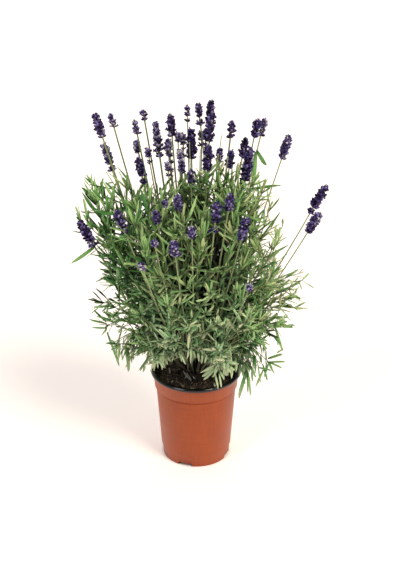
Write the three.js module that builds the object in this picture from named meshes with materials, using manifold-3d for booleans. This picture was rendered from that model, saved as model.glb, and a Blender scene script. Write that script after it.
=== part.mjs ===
// Lavender in a thermoformed grower's pot.
// Units are millimetres, +Z is up, and the origin is the centre of the pot's resting face.
import * as THREE from 'three';
import { mergeVertices } from 'three/addons/utils/BufferGeometryUtils.js';
import Module from 'manifold-3d';

const wasm = await Module();
wasm.setup();

// ---------------------------------------------------------------- driving dimensions

// The pot: a 13 cm grower's pot, measured over its rolled lip.
const potHeight = 138;
const lipRadius = 65;
const lipDepth = 4;
const wallRadiusAtLip = 60.8;
const shoulderDrop = 23;
const shoulderStep = 1.6;
const footHeight = 16;
const footRadius = 48;
const footStep = 1.2;
const sheet = 1;
const potSides = 36;

// The pot's floor: a flat disc, a raised ring with drain holes, and a foot ring with notches.
const discRadius = 21;
const channelRise = 5;
const channelInner = 24;
const channelOuter = 43;
const footRingInner = 45.5;
const drainHoleRadius = 4.5;
const drainCount = 4;
const notchWidth = 20;
const notchHeight = 4.5;
const firstNotchAzimuth = -109.5;

// Gap left between neighbouring pieces.
const gap = 0.3;

// Potting soil, and the woody crown that stands in it.
const soilTop = 126;
const soilMound = 2.5;
const soilRoughness = 1.1;
const crownRadius = 24;
const crownCentreHeight = 120;
const crownTop = 143;
const crownBottom = 108;
const crownSides = 14;

// Stalks and leaves.
const stalkRadius = 1.15;
const stalkSides = 4;
const stalkSteps = 6;
const stalkStart = 18;
const leafWidth = 4.6;
const leafThickness = 1.3;
const leafLength = 42;
const leafSpacing = 30;
const leafFoot = 0.5;
const spikeRadius = 8.5;
const spikeSides = 6;

// Flower stalks, measured from the plant's heart on the crown:
// azimuth and lean in degrees, then length to the tip, length of the flower spike
// and the distance down to a separate lower whorl, or 0 where there is none.
const heart = new THREE.Vector3(0, 0, soilTop);
const flowerStalks = [
  [156, 22, 400, 36, 0],
  [141, 23, 390, 19, 0],
  [148, 25, 355, 32, 10],
  [126, 19, 384, 15, 0],
  [140, 17, 375, 23, 0],
  [133, 21, 344, 18, 0],
  [165, 14, 332, 27, 12],
  [132, 13, 359, 33, 9],
  [130, 8, 381, 33, 0],
  [117, 15, 336, 20, 0],
  [96, 10, 355, 44, 0],
  [88, 11, 388, 20, 12],
  [126, 6, 319, 19, 0],
  [248, 3, 319, 20, 0],
  [68, 8, 397, 58, 0],
  [24, 3, 345, 36, 0],
  [58, 15, 367, 25, 0],
  [55, 10, 331, 18, 0],
  [24, 9, 337, 26, 0],
  [36, 16, 378, 28, 0],
  [54, 20, 345, 30, 0],
  [16, 13, 344, 48, 12],
  [45, 21, 377, 17, 9],
  [27, 23, 368, 36, 0],
  [-8, 30, 347, 38, 9],
  [-20, 32, 325, 35, 0],
  [-165, 32, 302, 36, 9],
  [-143, 24, 313, 31, 10],
  [-119, 20, 311, 22, 0],
  [-105, 16, 322, 23, 0],
  [-64, 18, 332, 27, 0],
  [-76, 20, 330, 32, 18],
  [-60, 24, 318, 36, 0],
  [-101, 28, 308, 28, 0],
];

// Leafy shoots, in rings from the drooping skirt to the upright middle of the plant.
// Each shoot arches from the crown, over (archRadius, archHeight), to its tip. The tips of the
// skirt rise by frontLift towards -Y, where the plant shows the soil over the pot's rim.
const shootRings = [
  { count: 7, azimuth: -78, archRadius: 70, archHeight: 222, tipRadius: 106, tipHeight: 168, frontLift: 30 },
  { count: 7, azimuth: -102, archRadius: 62, archHeight: 215, tipRadius: 116, tipHeight: 262, frontLift: 0 },
  { count: 6, azimuth: -66, archRadius: 60, archHeight: 250, tipRadius: 120, tipHeight: 366, frontLift: 0 },
  { count: 3, azimuth: -20, archRadius: 36, archHeight: 275, tipRadius: 56, tipHeight: 390, frontLift: 0 },
];
const tipJitter = 14;

// ---------------------------------------------------------------- materials

const materials = {
  terracotta: new THREE.MeshStandardMaterial({ color: '#b5572f', roughness: 0.45 }),
  soil: new THREE.MeshStandardMaterial({ color: '#2b211b', roughness: 1 }),
  bark: new THREE.MeshStandardMaterial({ color: '#6b5a48', roughness: 0.95 }),
  foliage: new THREE.MeshStandardMaterial({ color: '#7d9a6b', roughness: 0.8 }),
  blossom: new THREE.MeshStandardMaterial({ color: '#43356f', roughness: 0.85 }),
};

// ---------------------------------------------------------------- helpers

const degrees = THREE.MathUtils.degToRad;
const goldenAngle = Math.PI * (3 - Math.sqrt(5));

// A repeatable number from 0 to 1 for each seed.
function scatter(seed) {
  const wave = Math.sin(seed * 12.9898) * 43758.5453;
  return wave - Math.floor(wave);
}

// The unit vector at an azimuth from +X and a lean from +Z, both in radians.
function direction(azimuth, lean) {
  return new THREE.Vector3(
    Math.sin(lean) * Math.cos(azimuth),
    Math.sin(lean) * Math.sin(azimuth),
    Math.cos(lean),
  );
}

function toSolid(geometry, matrix = new THREE.Matrix4()) {
  geometry.deleteAttribute('normal');
  geometry.deleteAttribute('uv');
  geometry.applyMatrix4(matrix);
  const merged = mergeVertices(geometry, 1e-4);
  return new wasm.Manifold(new wasm.Mesh({
    numProp: 3,
    vertProperties: Float32Array.from(merged.attributes.position.array),
    triVerts: Uint32Array.from(merged.index.array),
  }));
}

function toGeometry(solid) {
  const mesh = solid.getMesh();
  const geometry = new THREE.BufferGeometry();
  geometry.setAttribute('position', new THREE.BufferAttribute(mesh.vertProperties, 3));
  geometry.setIndex(new THREE.BufferAttribute(mesh.triVerts, 1));
  geometry.computeVertexNormals();
  return geometry;
}

// A solid of revolution about Z from [radius, height] pairs that start and end on the axis.
function revolve(outline, sides) {
  const points = outline.map(([radius, height]) => new THREE.Vector2(radius, height));
  return new THREE.LatheGeometry(points, sides).rotateX(Math.PI / 2);
}

function polygon(radius, sides) {
  const corners = [];
  for (let corner = 0; corner < sides; corner++) {
    const angle = (corner / sides) * 2 * Math.PI;
    corners.push(new THREE.Vector2(radius * Math.cos(angle), radius * Math.sin(angle)));
  }
  return new THREE.Shape(corners);
}

// ---------------------------------------------------------------- keeping pieces apart

// Everything that grows is also noted as a chain of beads, so that later pieces keep clear of it.
const beadSpacing = 3;
const beadClearance = 0.9;
const beads = [];

function beadsAlong(curve, radius, owner) {
  const count = Math.ceil(curve.getLength() / beadSpacing);
  return curve.getSpacedPoints(count).map((point) => ({ point, radius, owner }));
}

// Beads inside the crown are cut away later, so they are free to meet there.
const crownCore = 0.9;

function isInCrown(point) {
  const level = Math.hypot(point.x, point.y) / crownRadius;
  const rise = (2 * point.z - crownTop - crownBottom) / (crownTop - crownBottom);
  return level ** 2 + rise ** 2 < crownCore;
}

// True where a point with this much room around it is clear of the soil and of the pot's lip.
const heightClearance = 2;
const sideClearance = 3;

function isClearOfPot(point, room) {
  const radius = Math.hypot(point.x, point.y);
  if (radius < wallRadiusAtLip - 2 * sideClearance) {
    return point.z > soilTop + soilMound + room + heightClearance;
  }
  if (radius < lipRadius + room + sideClearance) return point.z > potHeight + room + heightClearance;
  return true;
}

function isClear(candidate) {
  return candidate.every((bead) => isInCrown(bead.point) || (
    isClearOfPot(bead.point, bead.radius)
    && beads.every((other) => other.owner === bead.owner
      || other.point.distanceTo(bead.point) > other.radius + bead.radius + beadClearance)
  ));
}

// ---------------------------------------------------------------- pot, soil and crown

const lipBottom = potHeight - lipDepth;
const shoulderHeight = lipBottom - shoulderDrop;

// The wall tapers from the foot to the lip, with two small outward steps on the way up.
function wallRadius(height) {
  const steps = (height > footHeight ? footStep : 0) + (height > shoulderHeight ? shoulderStep : 0);
  const taper = (wallRadiusAtLip - footRadius - footStep - shoulderStep) / lipBottom;
  return footRadius + taper * height + steps;
}

function potOutline() {
  const stepRise = 1.5;
  const lipRound = 0.9;
  const stepSlope = 0.2;
  const outside = [
    [0, 0],
    [discRadius, 0],
    [channelInner, channelRise],
    [channelOuter, channelRise],
    [footRingInner, 0],
    [footRadius, 0],
    [wallRadius(footHeight), footHeight],
    [wallRadius(footHeight + stepRise), footHeight + stepRise],
    [wallRadius(shoulderHeight), shoulderHeight],
    [wallRadius(shoulderHeight + stepRise), shoulderHeight + stepRise],
    [wallRadiusAtLip, lipBottom],
    [lipRadius - lipRound, lipBottom],
    [lipRadius, lipBottom + lipRound],
    [lipRadius, potHeight - lipRound],
    [lipRadius - lipRound, potHeight],
  ];
  const inside = [
    [wallRadiusAtLip, potHeight],
    [wallRadiusAtLip - sheet, lipBottom],
    [wallRadius(shoulderHeight + stepRise) - sheet, shoulderHeight + stepRise + stepSlope],
    [wallRadius(shoulderHeight) - sheet, shoulderHeight + stepSlope],
    [wallRadius(footHeight + stepRise) - sheet, footHeight + stepRise + stepSlope],
    [wallRadius(footHeight) - sheet, footHeight + stepSlope],
    [footRadius - sheet, sheet],
    [footRingInner + 0.5, sheet],
    [channelOuter + 0.5, channelRise + sheet],
    [channelInner - 0.5, channelRise + sheet],
    [discRadius - 0.5, sheet],
    [0, sheet],
  ];
  return [...outside, ...inside];
}

function growerPot() {
  const notchDepth = 16;
  const holeSides = 12;
  let pot = toSolid(revolve(potOutline(), potSides));
  for (let n = 0; n < drainCount; n++) {
    const notchAzimuth = degrees(firstNotchAzimuth) + (n * 2 * Math.PI) / drainCount;
    const notch = new THREE.BoxGeometry(notchDepth, notchWidth, 2 * notchHeight);
    notch.translate(footRadius + 2, 0, 0).rotateZ(notchAzimuth);
    const holeAzimuth = notchAzimuth + Math.PI / drainCount;
    const hole = new THREE.CylinderGeometry(drainHoleRadius, drainHoleRadius, 2 * channelRise, holeSides);
    hole.rotateX(Math.PI / 2).translate((channelInner + channelOuter) / 2, 0, channelRise);
    hole.rotateZ(holeAzimuth);
    pot = pot.subtract(toSolid(notch)).subtract(toSolid(hole));
  }
  return pot;
}

// The crown is a ball, a little squared, so that stalks can leave it all round.
function crownOutline(margin) {
  const halfHeight = (crownTop - crownBottom) / 2;
  const middle = (crownTop + crownBottom) / 2;
  const outline = [];
  const steps = 8;
  const squareness = 0.8;
  for (let step = 0; step <= steps; step++) {
    const angle = -Math.PI / 2 + (step / steps) * Math.PI;
    const radius = step % steps === 0 ? 0 : (crownRadius + margin) * Math.cos(angle) ** squareness;
    outline.push([radius, middle + (halfHeight + margin) * Math.sin(angle)]);
  }
  return outline;
}

function woodyCrown(margin = 0) {
  return toSolid(revolve(crownOutline(margin), crownSides));
}

// The soil fills the pot to just under its lip, with a low mound and an uneven top.
function pottingSoil() {
  const floor = channelRise + sheet + gap;
  const aboveStep = 2;
  const shoulders = [48, 38, 28];
  const soilSides = 28;
  const inPot = (height) => [wallRadius(height) - sheet - 2 * gap, height];
  const plug = [
    [0, floor],
    inPot(floor),
    inPot(footHeight),
    inPot(footHeight + aboveStep),
    inPot(shoulderHeight),
    inPot(shoulderHeight + aboveStep),
    inPot(soilTop - 4),
    [shoulders[0], soilTop - 1],
    [shoulders[1], soilTop],
    [shoulders[2], soilTop + soilMound / 2],
    [0, soilTop + soilMound],
  ];
  const geometry = revolve(plug, soilSides);
  const position = geometry.attributes.position;
  for (let n = 0; n < position.count; n++) {
    const x = position.getX(n);
    const y = position.getY(n);
    const z = position.getZ(n);
    if (z < soilTop - 2) continue;
    position.setZ(n, z + soilRoughness * (Math.sin(x * 0.23 + 1) + Math.cos(y * 0.31 + x * 0.11)));
  }
  return toSolid(geometry).subtract(woodyCrown(gap));
}

// ---------------------------------------------------------------- stalks

// Finds a route from the crown to a tip that keeps clear of everything placed before it.
// Each attempt spreads the start over the crown, and the bend, a little farther round a spiral.
const routeAttempts = 900;
const steepestStart = degrees(66);
const startTurn = degrees(3);
const startTilt = degrees(1.6);
const bendShift = 1.4;
const bendTwist = 1.7;

function route({ owner, azimuth, startLean, bend, tip, radius, extras = () => [] }) {
  const sideways = direction(azimuth + Math.PI / 2, Math.PI / 2);
  const outwards = direction(azimuth, Math.PI / 2);
  for (let attempt = 0; attempt < routeAttempts; attempt++) {
    const swing = attempt * goldenAngle;
    const reach = Math.sqrt(attempt);
    const start = direction(
      azimuth + startTurn * reach * Math.cos(swing),
      THREE.MathUtils.clamp(startLean + startTilt * reach * Math.sin(swing), 0, steepestStart),
    ).multiplyScalar(stalkStart);
    start.z += crownCentreHeight;
    const control = bend.clone()
      .addScaledVector(sideways, bendShift * reach * Math.cos(swing * bendTwist))
      .addScaledVector(outwards, bendShift * reach * Math.sin(swing * bendTwist));
    const curve = new THREE.QuadraticBezierCurve3(start, control, tip);
    const chain = [...beadsAlong(curve, radius, owner), ...extras(curve)];
    if (isClear(chain)) {
      beads.push(...chain);
      return curve;
    }
  }
  throw new Error(`no clear route for ${owner}`);
}

function stalk(curve) {
  const path = new THREE.ExtrudeGeometry(polygon(stalkRadius, stalkSides), {
    steps: stalkSteps,
    extrudePath: curve,
    bevelEnabled: false,
  });
  return toSolid(path);
}

// The middle of a stalk, which runs straight from each of its steps to the next.
function middleOfStalk(curve, along) {
  const step = Math.min(Math.floor(along * stalkSteps), stalkSteps - 1);
  const from = curve.getPointAt(step / stalkSteps);
  const to = curve.getPointAt((step + 1) / stalkSteps);
  return from.lerp(to, along * stalkSteps - step);
}

// ---------------------------------------------------------------- flower stalks

// Blossom is a turned body with a swelling for each whorl, on the stalk's last stretch.
const spikeTaper = 0.45;
const swellingAt = 0.45;
const neck = 0.72;
const whorlSpacing = 10;

function blossomOutline(length, whorls) {
  const outline = [[0, 0]];
  for (let whorl = 0; whorl < whorls; whorl++) {
    const radius = spikeRadius * (1 - spikeTaper * (whorl / whorls) ** 2);
    outline.push([radius, ((whorl + swellingAt) / whorls) * length]);
    if (whorl < whorls - 1) outline.push([radius * neck, ((whorl + 1) / whorls) * length]);
  }
  outline.push([0, length]);
  return outline;
}

function blossom(curve, fromTip, length, whorls) {
  const total = curve.getLength();
  const base = curve.getPointAt(Math.max(0, (total - fromTip) / total));
  const along = curve.getTangentAt((total - fromTip / 2) / total);
  const turn = new THREE.Quaternion().setFromUnitVectors(new THREE.Vector3(0, 0, 1), along);
  const place = new THREE.Matrix4().compose(base, turn, new THREE.Vector3(1, 1, 1));
  return toSolid(revolve(blossomOutline(length, whorls), spikeSides), place);
}

// Halfway up, a flower stalk leans farther than its tip does, and it leaves the crown farther still.
const bowedLean = 1.18;
const startingLean = 1.7;
const leastStart = degrees(4);
const whorlLength = 8;
const tipOverhang = 1.5;

function flowerStem(owner, [azimuthDegrees, leanDegrees, length, spike, drop]) {
  const azimuth = degrees(azimuthDegrees);
  const lean = degrees(leanDegrees);
  const tip = heart.clone().addScaledVector(direction(azimuth, lean), length);
  const bend = heart.clone().addScaledVector(direction(azimuth, lean * bowedLean), length / 2);
  const blossomBeads = (curve) => beadsAlong(curve, spikeRadius, owner)
    .filter((bead) => bead.point.distanceTo(tip) < spike + (drop ? drop + whorlLength : 0));
  const curve = route({
    owner,
    azimuth,
    startLean: lean * startingLean + leastStart,
    bend,
    tip,
    radius: stalkRadius,
    extras: blossomBeads,
  });
  const whorls = Math.max(2, Math.round(spike / whorlSpacing));
  let solid = stalk(curve).subtract(woodyCrown(gap));
  solid = solid.add(blossom(curve, spike, spike + tipOverhang, whorls));
  if (drop) solid = solid.add(blossom(curve, spike + drop, whorlLength, 1));
  return solid;
}

// ---------------------------------------------------------------- leafy shoots

// One leaf is a flat lens whose foot runs through its stalk.
function leafMatrix(base, along, across, length) {
  const face = new THREE.Vector3().crossVectors(across, along);
  const middle = base.clone().addScaledVector(along, (length - leafFoot) / 2);
  return new THREE.Matrix4()
    .makeBasis(across, along, face)
    .scale(new THREE.Vector3(leafWidth / 2, (length + leafFoot) / 2, leafThickness / 2))
    .setPosition(middle);
}

// Tries a leaf at this place, turned and drawn in a little more each time, until it keeps clear.
const leafAttempts = 12;
const leafTurn = degrees(9);
const leafDraw = 0.03;
const footLength = 4;

function growLeaf(owner, base, tangent, side, spread, length) {
  for (let attempt = 0; attempt < leafAttempts; attempt++) {
    const turned = side.clone().applyAxisAngle(tangent, leafTurn * attempt * (-1) ** attempt);
    const angle = spread * (1 - leafDraw * attempt);
    const reach = length * (1 - leafDraw * attempt);
    const along = tangent.clone().multiplyScalar(Math.cos(angle))
      .addScaledVector(turned, Math.sin(angle)).normalize();
    const tip = base.clone().addScaledVector(along, reach);
    const foot = base.clone().addScaledVector(along, footLength);
    const chain = beadsAlong(new THREE.LineCurve3(foot, tip), leafWidth / 2, owner);
    if (isClear(chain)) {
      beads.push(...chain);
      const across = new THREE.Vector3().crossVectors(along, tangent).normalize();
      return toSolid(new THREE.SphereGeometry(1, 4, 3), leafMatrix(base, along, across, reach));
    }
  }
  return null;
}

// Leaves stand in opposite pairs, each a quarter turn from the last. Towards the tip they close
// up against the stalk and grow shorter.
const bareShare = 0.34;
const lastPairFromTip = 2;
const turnJitter = degrees(40);
const lowestSpread = degrees(58);
const spreadClosing = degrees(26);

function leafyShoot(owner, curve, seed) {
  const total = curve.getLength();
  let solid = stalk(curve).subtract(woodyCrown(gap));
  const firstPair = bareShare * total;
  const pairs = Math.floor((total - firstPair) / leafSpacing);
  for (let pair = 0; pair <= pairs; pair++) {
    const along = (firstPair + (pair / pairs) * (total - firstPair - lastPairFromTip)) / total;
    const base = middleOfStalk(curve, along);
    const tangent = curve.getTangentAt(along);
    const level = new THREE.Vector3().crossVectors(tangent, new THREE.Vector3(0, 0, 1)).normalize();
    const turn = pair * (Math.PI / 2) + turnJitter * scatter(seed + pair);
    const side = level.applyAxisAngle(tangent, turn);
    const spread = lowestSpread - spreadClosing * (pair / pairs);
    const length = leafLength * (1.05 - 0.4 * (pair / pairs) + 0.15 * scatter(seed * 3 + pair));
    for (const facing of [1, -1]) {
      const leaf = growLeaf(owner, base, tangent, side.clone().multiplyScalar(facing), spread, length);
      if (leaf) solid = solid.add(leaf);
    }
  }
  return solid;
}

const azimuthJitter = 12;
const archOverLean = 1.25;

function shootRoute(owner, ring, n, seed) {
  const jitter = azimuthJitter * (scatter(seed) - 0.5);
  const azimuth = degrees(ring.azimuth + (360 * n) / ring.count + jitter);
  const level = direction(azimuth, Math.PI / 2);
  const tip = level.clone().multiplyScalar(ring.tipRadius + tipJitter * (scatter(seed + 7) - 0.5));
  const front = Math.max(0, -Math.sin(azimuth)) ** 2;
  tip.z = ring.tipHeight + ring.frontLift * front + 2 * tipJitter * (scatter(seed + 9) - 0.5);
  const bend = level.clone().multiplyScalar(ring.archRadius);
  bend.z = ring.archHeight;
  const archLean = Math.atan2(ring.archRadius, ring.archHeight - soilTop);
  const startLean = Math.min(steepestStart, archOverLean * archLean);
  return route({ owner, azimuth, startLean, bend, tip, radius: stalkRadius });
}

// ---------------------------------------------------------------- the plant in its pot

const part = new THREE.Group();

function place(name, solid, material) {
  const mesh = new THREE.Mesh(toGeometry(solid), material);
  mesh.name = name;
  part.add(mesh);
}

function numbered(name, n) {
  return `${name}_${String(n).padStart(2, '0')}`;
}

place('grower_pot', growerPot(), materials.terracotta);
place('potting_soil', pottingSoil(), materials.soil);
place('woody_crown', woodyCrown(), materials.bark);

flowerStalks.forEach((row, n) => {
  const name = numbered('flower_stem', n + 1);
  place(name, flowerStem(name, row), materials.blossom);
});

// Every shoot's stalk is routed before the first leaf, so that leaves give way to stalks.
const shoots = [];
for (const ring of shootRings) {
  for (let n = 0; n < ring.count; n++) {
    const name = numbered('leafy_shoot', shoots.length + 1);
    shoots.push({ name, curve: shootRoute(name, ring, n, 11 + shoots.length * 5) });
  }
}
shoots.forEach(({ name, curve }, n) => {
  place(name, leafyShoot(name, curve, 31 + n * 17), materials.foliage);
});

export default part;
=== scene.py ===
# %% [markdown]
# # A potted lavender
#
# A lavender plant in a plastic grower's pot: a felted, grey-green bush of narrow leaves with
# dark violet flower spikes standing out of it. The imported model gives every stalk's place and
# length, and this script gives the pot, soil, bark, leaves and flowers their real surface.

# %% Load the frame
import math
import random

import bmesh
import bpy
import numpy as np
from mathutils import Matrix, Vector, noise


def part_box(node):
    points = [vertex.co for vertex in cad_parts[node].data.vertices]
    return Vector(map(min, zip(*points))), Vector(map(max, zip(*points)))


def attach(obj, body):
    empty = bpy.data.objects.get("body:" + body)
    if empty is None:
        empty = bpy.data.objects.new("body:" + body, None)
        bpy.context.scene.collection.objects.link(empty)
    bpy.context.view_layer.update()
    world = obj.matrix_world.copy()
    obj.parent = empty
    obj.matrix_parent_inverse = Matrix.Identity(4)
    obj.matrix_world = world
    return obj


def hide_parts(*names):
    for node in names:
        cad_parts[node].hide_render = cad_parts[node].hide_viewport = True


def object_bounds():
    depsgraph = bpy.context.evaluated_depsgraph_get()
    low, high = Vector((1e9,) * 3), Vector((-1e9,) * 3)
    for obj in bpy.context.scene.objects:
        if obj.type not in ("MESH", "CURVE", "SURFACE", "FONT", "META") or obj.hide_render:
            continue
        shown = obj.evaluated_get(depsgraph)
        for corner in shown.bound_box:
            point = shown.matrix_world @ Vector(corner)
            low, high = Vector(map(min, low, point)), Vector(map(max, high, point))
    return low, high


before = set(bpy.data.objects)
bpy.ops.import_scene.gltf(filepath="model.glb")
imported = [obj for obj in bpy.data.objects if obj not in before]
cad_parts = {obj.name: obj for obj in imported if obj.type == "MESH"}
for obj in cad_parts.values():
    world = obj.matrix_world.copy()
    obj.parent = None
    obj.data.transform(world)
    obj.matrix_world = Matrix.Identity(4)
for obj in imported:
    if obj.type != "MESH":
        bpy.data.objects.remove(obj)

cad_low, cad_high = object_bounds()
MM = 0.001
print("frame:", len(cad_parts), "nodes, height", round(cad_high.z - cad_low.z, 3), "m")

# %% [markdown]
# ## Small tools
#
# Colours are written as the hex values that a paint chart gives. The renderer wants linear light,
# so one function turns them round. One more adds a shader node with its settings and its links,
# and a few short ones built on it name the nodes that are used again and again. The last ones wrap
# a finished bmesh as a mesh, an object, or a piece that rides on the plant's only body.

# %% Colours, shader nodes and pieces
def linear(code):
    """A hex colour as linear light."""
    parts = [int(code[i : i + 2], 16) / 255 for i in (1, 3, 5)]
    return [c / 12.92 if c <= 0.04045 else ((c + 0.055) / 1.055) ** 2.4 for c in parts] + [1.0]


def add(tree, kind, settings=None, **inputs):
    """Adds a node. An input is a value, a hex colour, or the socket that feeds it."""
    node = tree.nodes.new(kind)
    for key, value in (settings or {}).items():
        setattr(node, key, value)
    for key, value in inputs.items():
        socket = node.inputs[int(key[1:])] if key[1:].isdigit() else node.inputs[key.replace("_", " ")]
        if isinstance(value, bpy.types.NodeSocket):
            tree.links.new(value, socket)
        else:
            socket.default_value = linear(value) if isinstance(value, str) else value
    return node


def ramp(tree, factor, *stops):
    """A colour ramp over (position, hex colour) stops."""
    node = add(tree, "ShaderNodeValToRGB", Fac=factor)
    band = node.color_ramp.elements
    while len(band) < len(stops):
        band.new(0.5)
    for element, (position, code) in zip(band, stops):
        element.position = position
        element.color = linear(code)
    return node.outputs["Color"]


def attribute(tree, name):
    """A number that the points carry."""
    return add(tree, "ShaderNodeAttribute", {"attribute_name": name}).outputs["Fac"]


def object_place(tree):
    return add(tree, "ShaderNodeTexCoord").outputs["Object"]


def part_of(tree, place, axis):
    return add(tree, "ShaderNodeSeparateXYZ", Vector=place).outputs[axis]


def length_of(tree, vector):
    return add(tree, "ShaderNodeVectorMath", {"operation": "LENGTH"}, i0=vector).outputs["Value"]


def speckle(tree, place, size, detail, **more):
    """Noise whose features are about this many millimetres across."""
    return add(tree, "ShaderNodeTexNoise", Vector=place, Scale=1 / (size * MM), Detail=detail,
               **more).outputs["Fac"]


def mapped(tree, value, start, end, low, high, smooth=False):
    """The value carried from start and end to low and high, and held beyond them."""
    settings = {"interpolation_type": "SMOOTHSTEP"} if smooth else None
    return add(tree, "ShaderNodeMapRange", settings, Value=value, From_Min=start, From_Max=end,
               To_Min=low, To_Max=high).outputs["Result"]


def worked(tree, operation, *values):
    """A sum on one or two numbers."""
    inputs = {f"i{n}": value for n, value in enumerate(values)}
    return add(tree, "ShaderNodeMath", {"operation": operation}, **inputs).outputs["Value"]


def scaled(tree, colour, share):
    return add(tree, "ShaderNodeVectorMath", {"operation": "SCALE"}, i0=colour,
               Scale=share).outputs["Vector"]


def mixed_value(tree, share, first, second):
    return add(tree, "ShaderNodeMix", {"data_type": "FLOAT"}, i0=share, i2=first, i3=second).outputs[0]


def mixed_colour(tree, share, first, second):
    return add(tree, "ShaderNodeMix", {"data_type": "RGBA"}, i0=share, i6=first, i7=second).outputs[2]


def paint(tree, shader, colour):
    tree.links.new(colour, shader.inputs["Base Color"])


def roughen(tree, shader, height, strength, depth):
    """A bump this many millimetres deep."""
    bump = add(tree, "ShaderNodeBump", Height=height, Strength=strength, Distance=depth * MM)
    tree.links.new(bump.outputs["Normal"], shader.inputs["Normal"])


def material(name):
    """A new material with its node tree and its Principled shader."""
    made = bpy.data.materials.new(name)
    made.use_nodes = True
    tree = made.node_tree
    return made, tree, tree.nodes["Principled BSDF"]


def finished_mesh(name, bm):
    mesh = bpy.data.meshes.new(name)
    bm.to_mesh(mesh)
    bm.free()
    return mesh


def linked(name, data):
    """A new object in the scene."""
    made = bpy.data.objects.new(name, data)
    bpy.context.scene.collection.objects.link(made)
    return made


def smooth_faces(bm):
    for face in bm.faces:
        face.smooth = True


def unit(value):
    """The value, held between 0 and 1."""
    return max(0.0, min(1.0, value))


def jitter(draw, spread):
    return Vector([draw.gauss(0, spread) for _ in range(3)])


def piece(name, bm, materials, slot, *replaced):
    """Makes a piece from a bmesh, riding on the one body and standing for CAD nodes."""
    made = linked(name, finished_mesh(name, bm))
    for one in materials:
        made.data.materials.append(one)
    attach(made, "root")
    if replaced:
        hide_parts(*replaced)
    return made


# %% [markdown]
# ## Camera, floor and light
#
# The plant stands on pale paper between two big umbrellas, one on each side of the camera, with
# the right one stronger. Each leaves its own highlight on the pot's glossy lip. The paper has a
# painted glow, an emission that stands in for fill light, so that both shadows stay pale. The room
# is white behind the plant and dark behind the camera, which keeps the colours deep and rims the
# edges with light. The camera looks down from 1.8 m, high enough to see the soil over the pot's lip.

# %% Camera
CAMERA_DISTANCE = 1.8
CAMERA_PITCH = math.radians(25.8)
CAMERA_LENS = 81.9
AIM = Vector((0.0057, 0, 0.2684))
back = Vector((0, -math.cos(CAMERA_PITCH), math.sin(CAMERA_PITCH)))
camera_data = bpy.data.cameras.new("camera")
camera_data.lens = CAMERA_LENS
camera_data.clip_end = 50
camera = linked("camera", camera_data)
camera.location = AIM + back * CAMERA_DISTANCE
camera.rotation_euler = back.to_track_quat("Z", "Y").to_euler()
bpy.context.scene.camera = camera
print("camera at", [round(c, 3) for c in camera.location])


# %% Light
UMBRELLA_WIDTH = math.radians(24)
ROOM_LIGHT = (0.1, 0.8)  # behind the camera, and behind the plant


def umbrella(name, towards, colour, energy):
    """A wide lamp on the line from the plant towards a point."""
    data = bpy.data.lights.new(name, "SUN")
    data.energy = energy
    data.color = linear(colour)[:3]
    data.angle = UMBRELLA_WIDTH
    made = linked(name, data)
    made.location = towards
    made.rotation_euler = (Vector(towards) - AIM).to_track_quat("Z", "Y").to_euler()
    return data


key = umbrella("umbrella_right", (1.5, -1.5, 2.5), "#fff4e4", 2.2)
fill = umbrella("umbrella_left", (-1.7, -1.6, 2.1), "#f6f6ff", 0.84)

world = bpy.data.worlds.new("studio")
world.use_nodes = True
tree = world.node_tree
towards = add(tree, "ShaderNodeTexCoord").outputs["Generated"]
glow = mapped(tree, part_of(tree, towards, "Y"), -0.5, 0.6, *ROOM_LIGHT)
tree.nodes["Background"].inputs["Color"].default_value = linear("#fffdfa")
tree.links.new(glow, tree.nodes["Background"].inputs["Strength"])
bpy.context.scene.world = world
bpy.context.scene.view_settings.view_transform = "Standard"
print("umbrellas:", key.energy, "and", fill.energy, "W per square metre, room light:", ROOM_LIGHT)

# %% Floor
# Matt white paper with a painted glow, an emission that stands in for fill light, so that shadows on
# it stay pale and warm. Under the pot the painted glow is turned off, so the real shade there stays dark.
paper, tree, shader = material("white paper with painted glow")
shader.inputs["Base Color"].default_value = linear("#fbf3ee")
shader.inputs["Roughness"].default_value = 0.9
shader.inputs["Emission Color"].default_value = linear("#fff3ea")
PAPER_GLOW = 0.36
glow = mapped(tree, length_of(tree, object_place(tree)), 46 * MM, 52 * MM, 0.0, PAPER_GLOW)
tree.links.new(glow, shader.inputs["Emission Strength"])
bm = bmesh.new()
bmesh.ops.create_grid(bm, x_segments=1, y_segments=1, size=60)
floor = linked("floor", finished_mesh("floor", bm))
floor.data.materials.append(paper)

# %% [markdown]
# ## The pot
#
# A grower's pot is drawn over a mould from a plastic sheet that is terracotta on one side and
# black on the other. Spinning half of its outline about Z gives the wall, the groove under the
# shoulder, the step above the foot and the floor in one skin. The ring edges are then bevelled,
# because a drawn sheet has no sharp edge, and the drainage notches and holes are cut last.

# %% Pot sizes, in millimetres
pot_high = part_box("grower_pot")[1]
POT_HEIGHT = pot_high.z / MM
LIP_RADIUS = pot_high.x / MM
LIP_DEPTH = 6.4
LIP_BOTTOM = POT_HEIGHT - LIP_DEPTH
WALL_AT_LIP = 60.8
SHOULDER = POT_HEIGHT - 26.5
SHOULDER_STEP = 2
GROOVE = 0.8
FOOT_HEIGHT = 16
FOOT_RADIUS = 48
FOOT_STEP = 1.2
SHEET = 1
CHANNEL = (24, 43)
CHANNEL_RISE = 5
SPIN_STEPS = 120
print("pot:", round(2 * LIP_RADIUS), "mm over the lip,", round(POT_HEIGHT), "mm high")


# %% Pot outline
def wall_radius(height):
    steps = (FOOT_STEP if height > FOOT_HEIGHT else 0) + (SHOULDER_STEP if height > SHOULDER else 0)
    taper = (WALL_AT_LIP - FOOT_RADIUS - FOOT_STEP - SHOULDER_STEP) / LIP_BOTTOM
    return FOOT_RADIUS + taper * height + steps


def lip_arc(centre, radius, start, end, steps):
    """Points on the lip's rolled edge, from one angle to another."""
    angles = [math.radians(start + (end - start) * n / steps) for n in range(steps + 1)]
    return [(centre[0] + radius * math.cos(a), centre[1] + radius * math.sin(a)) for a in angles]


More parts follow.
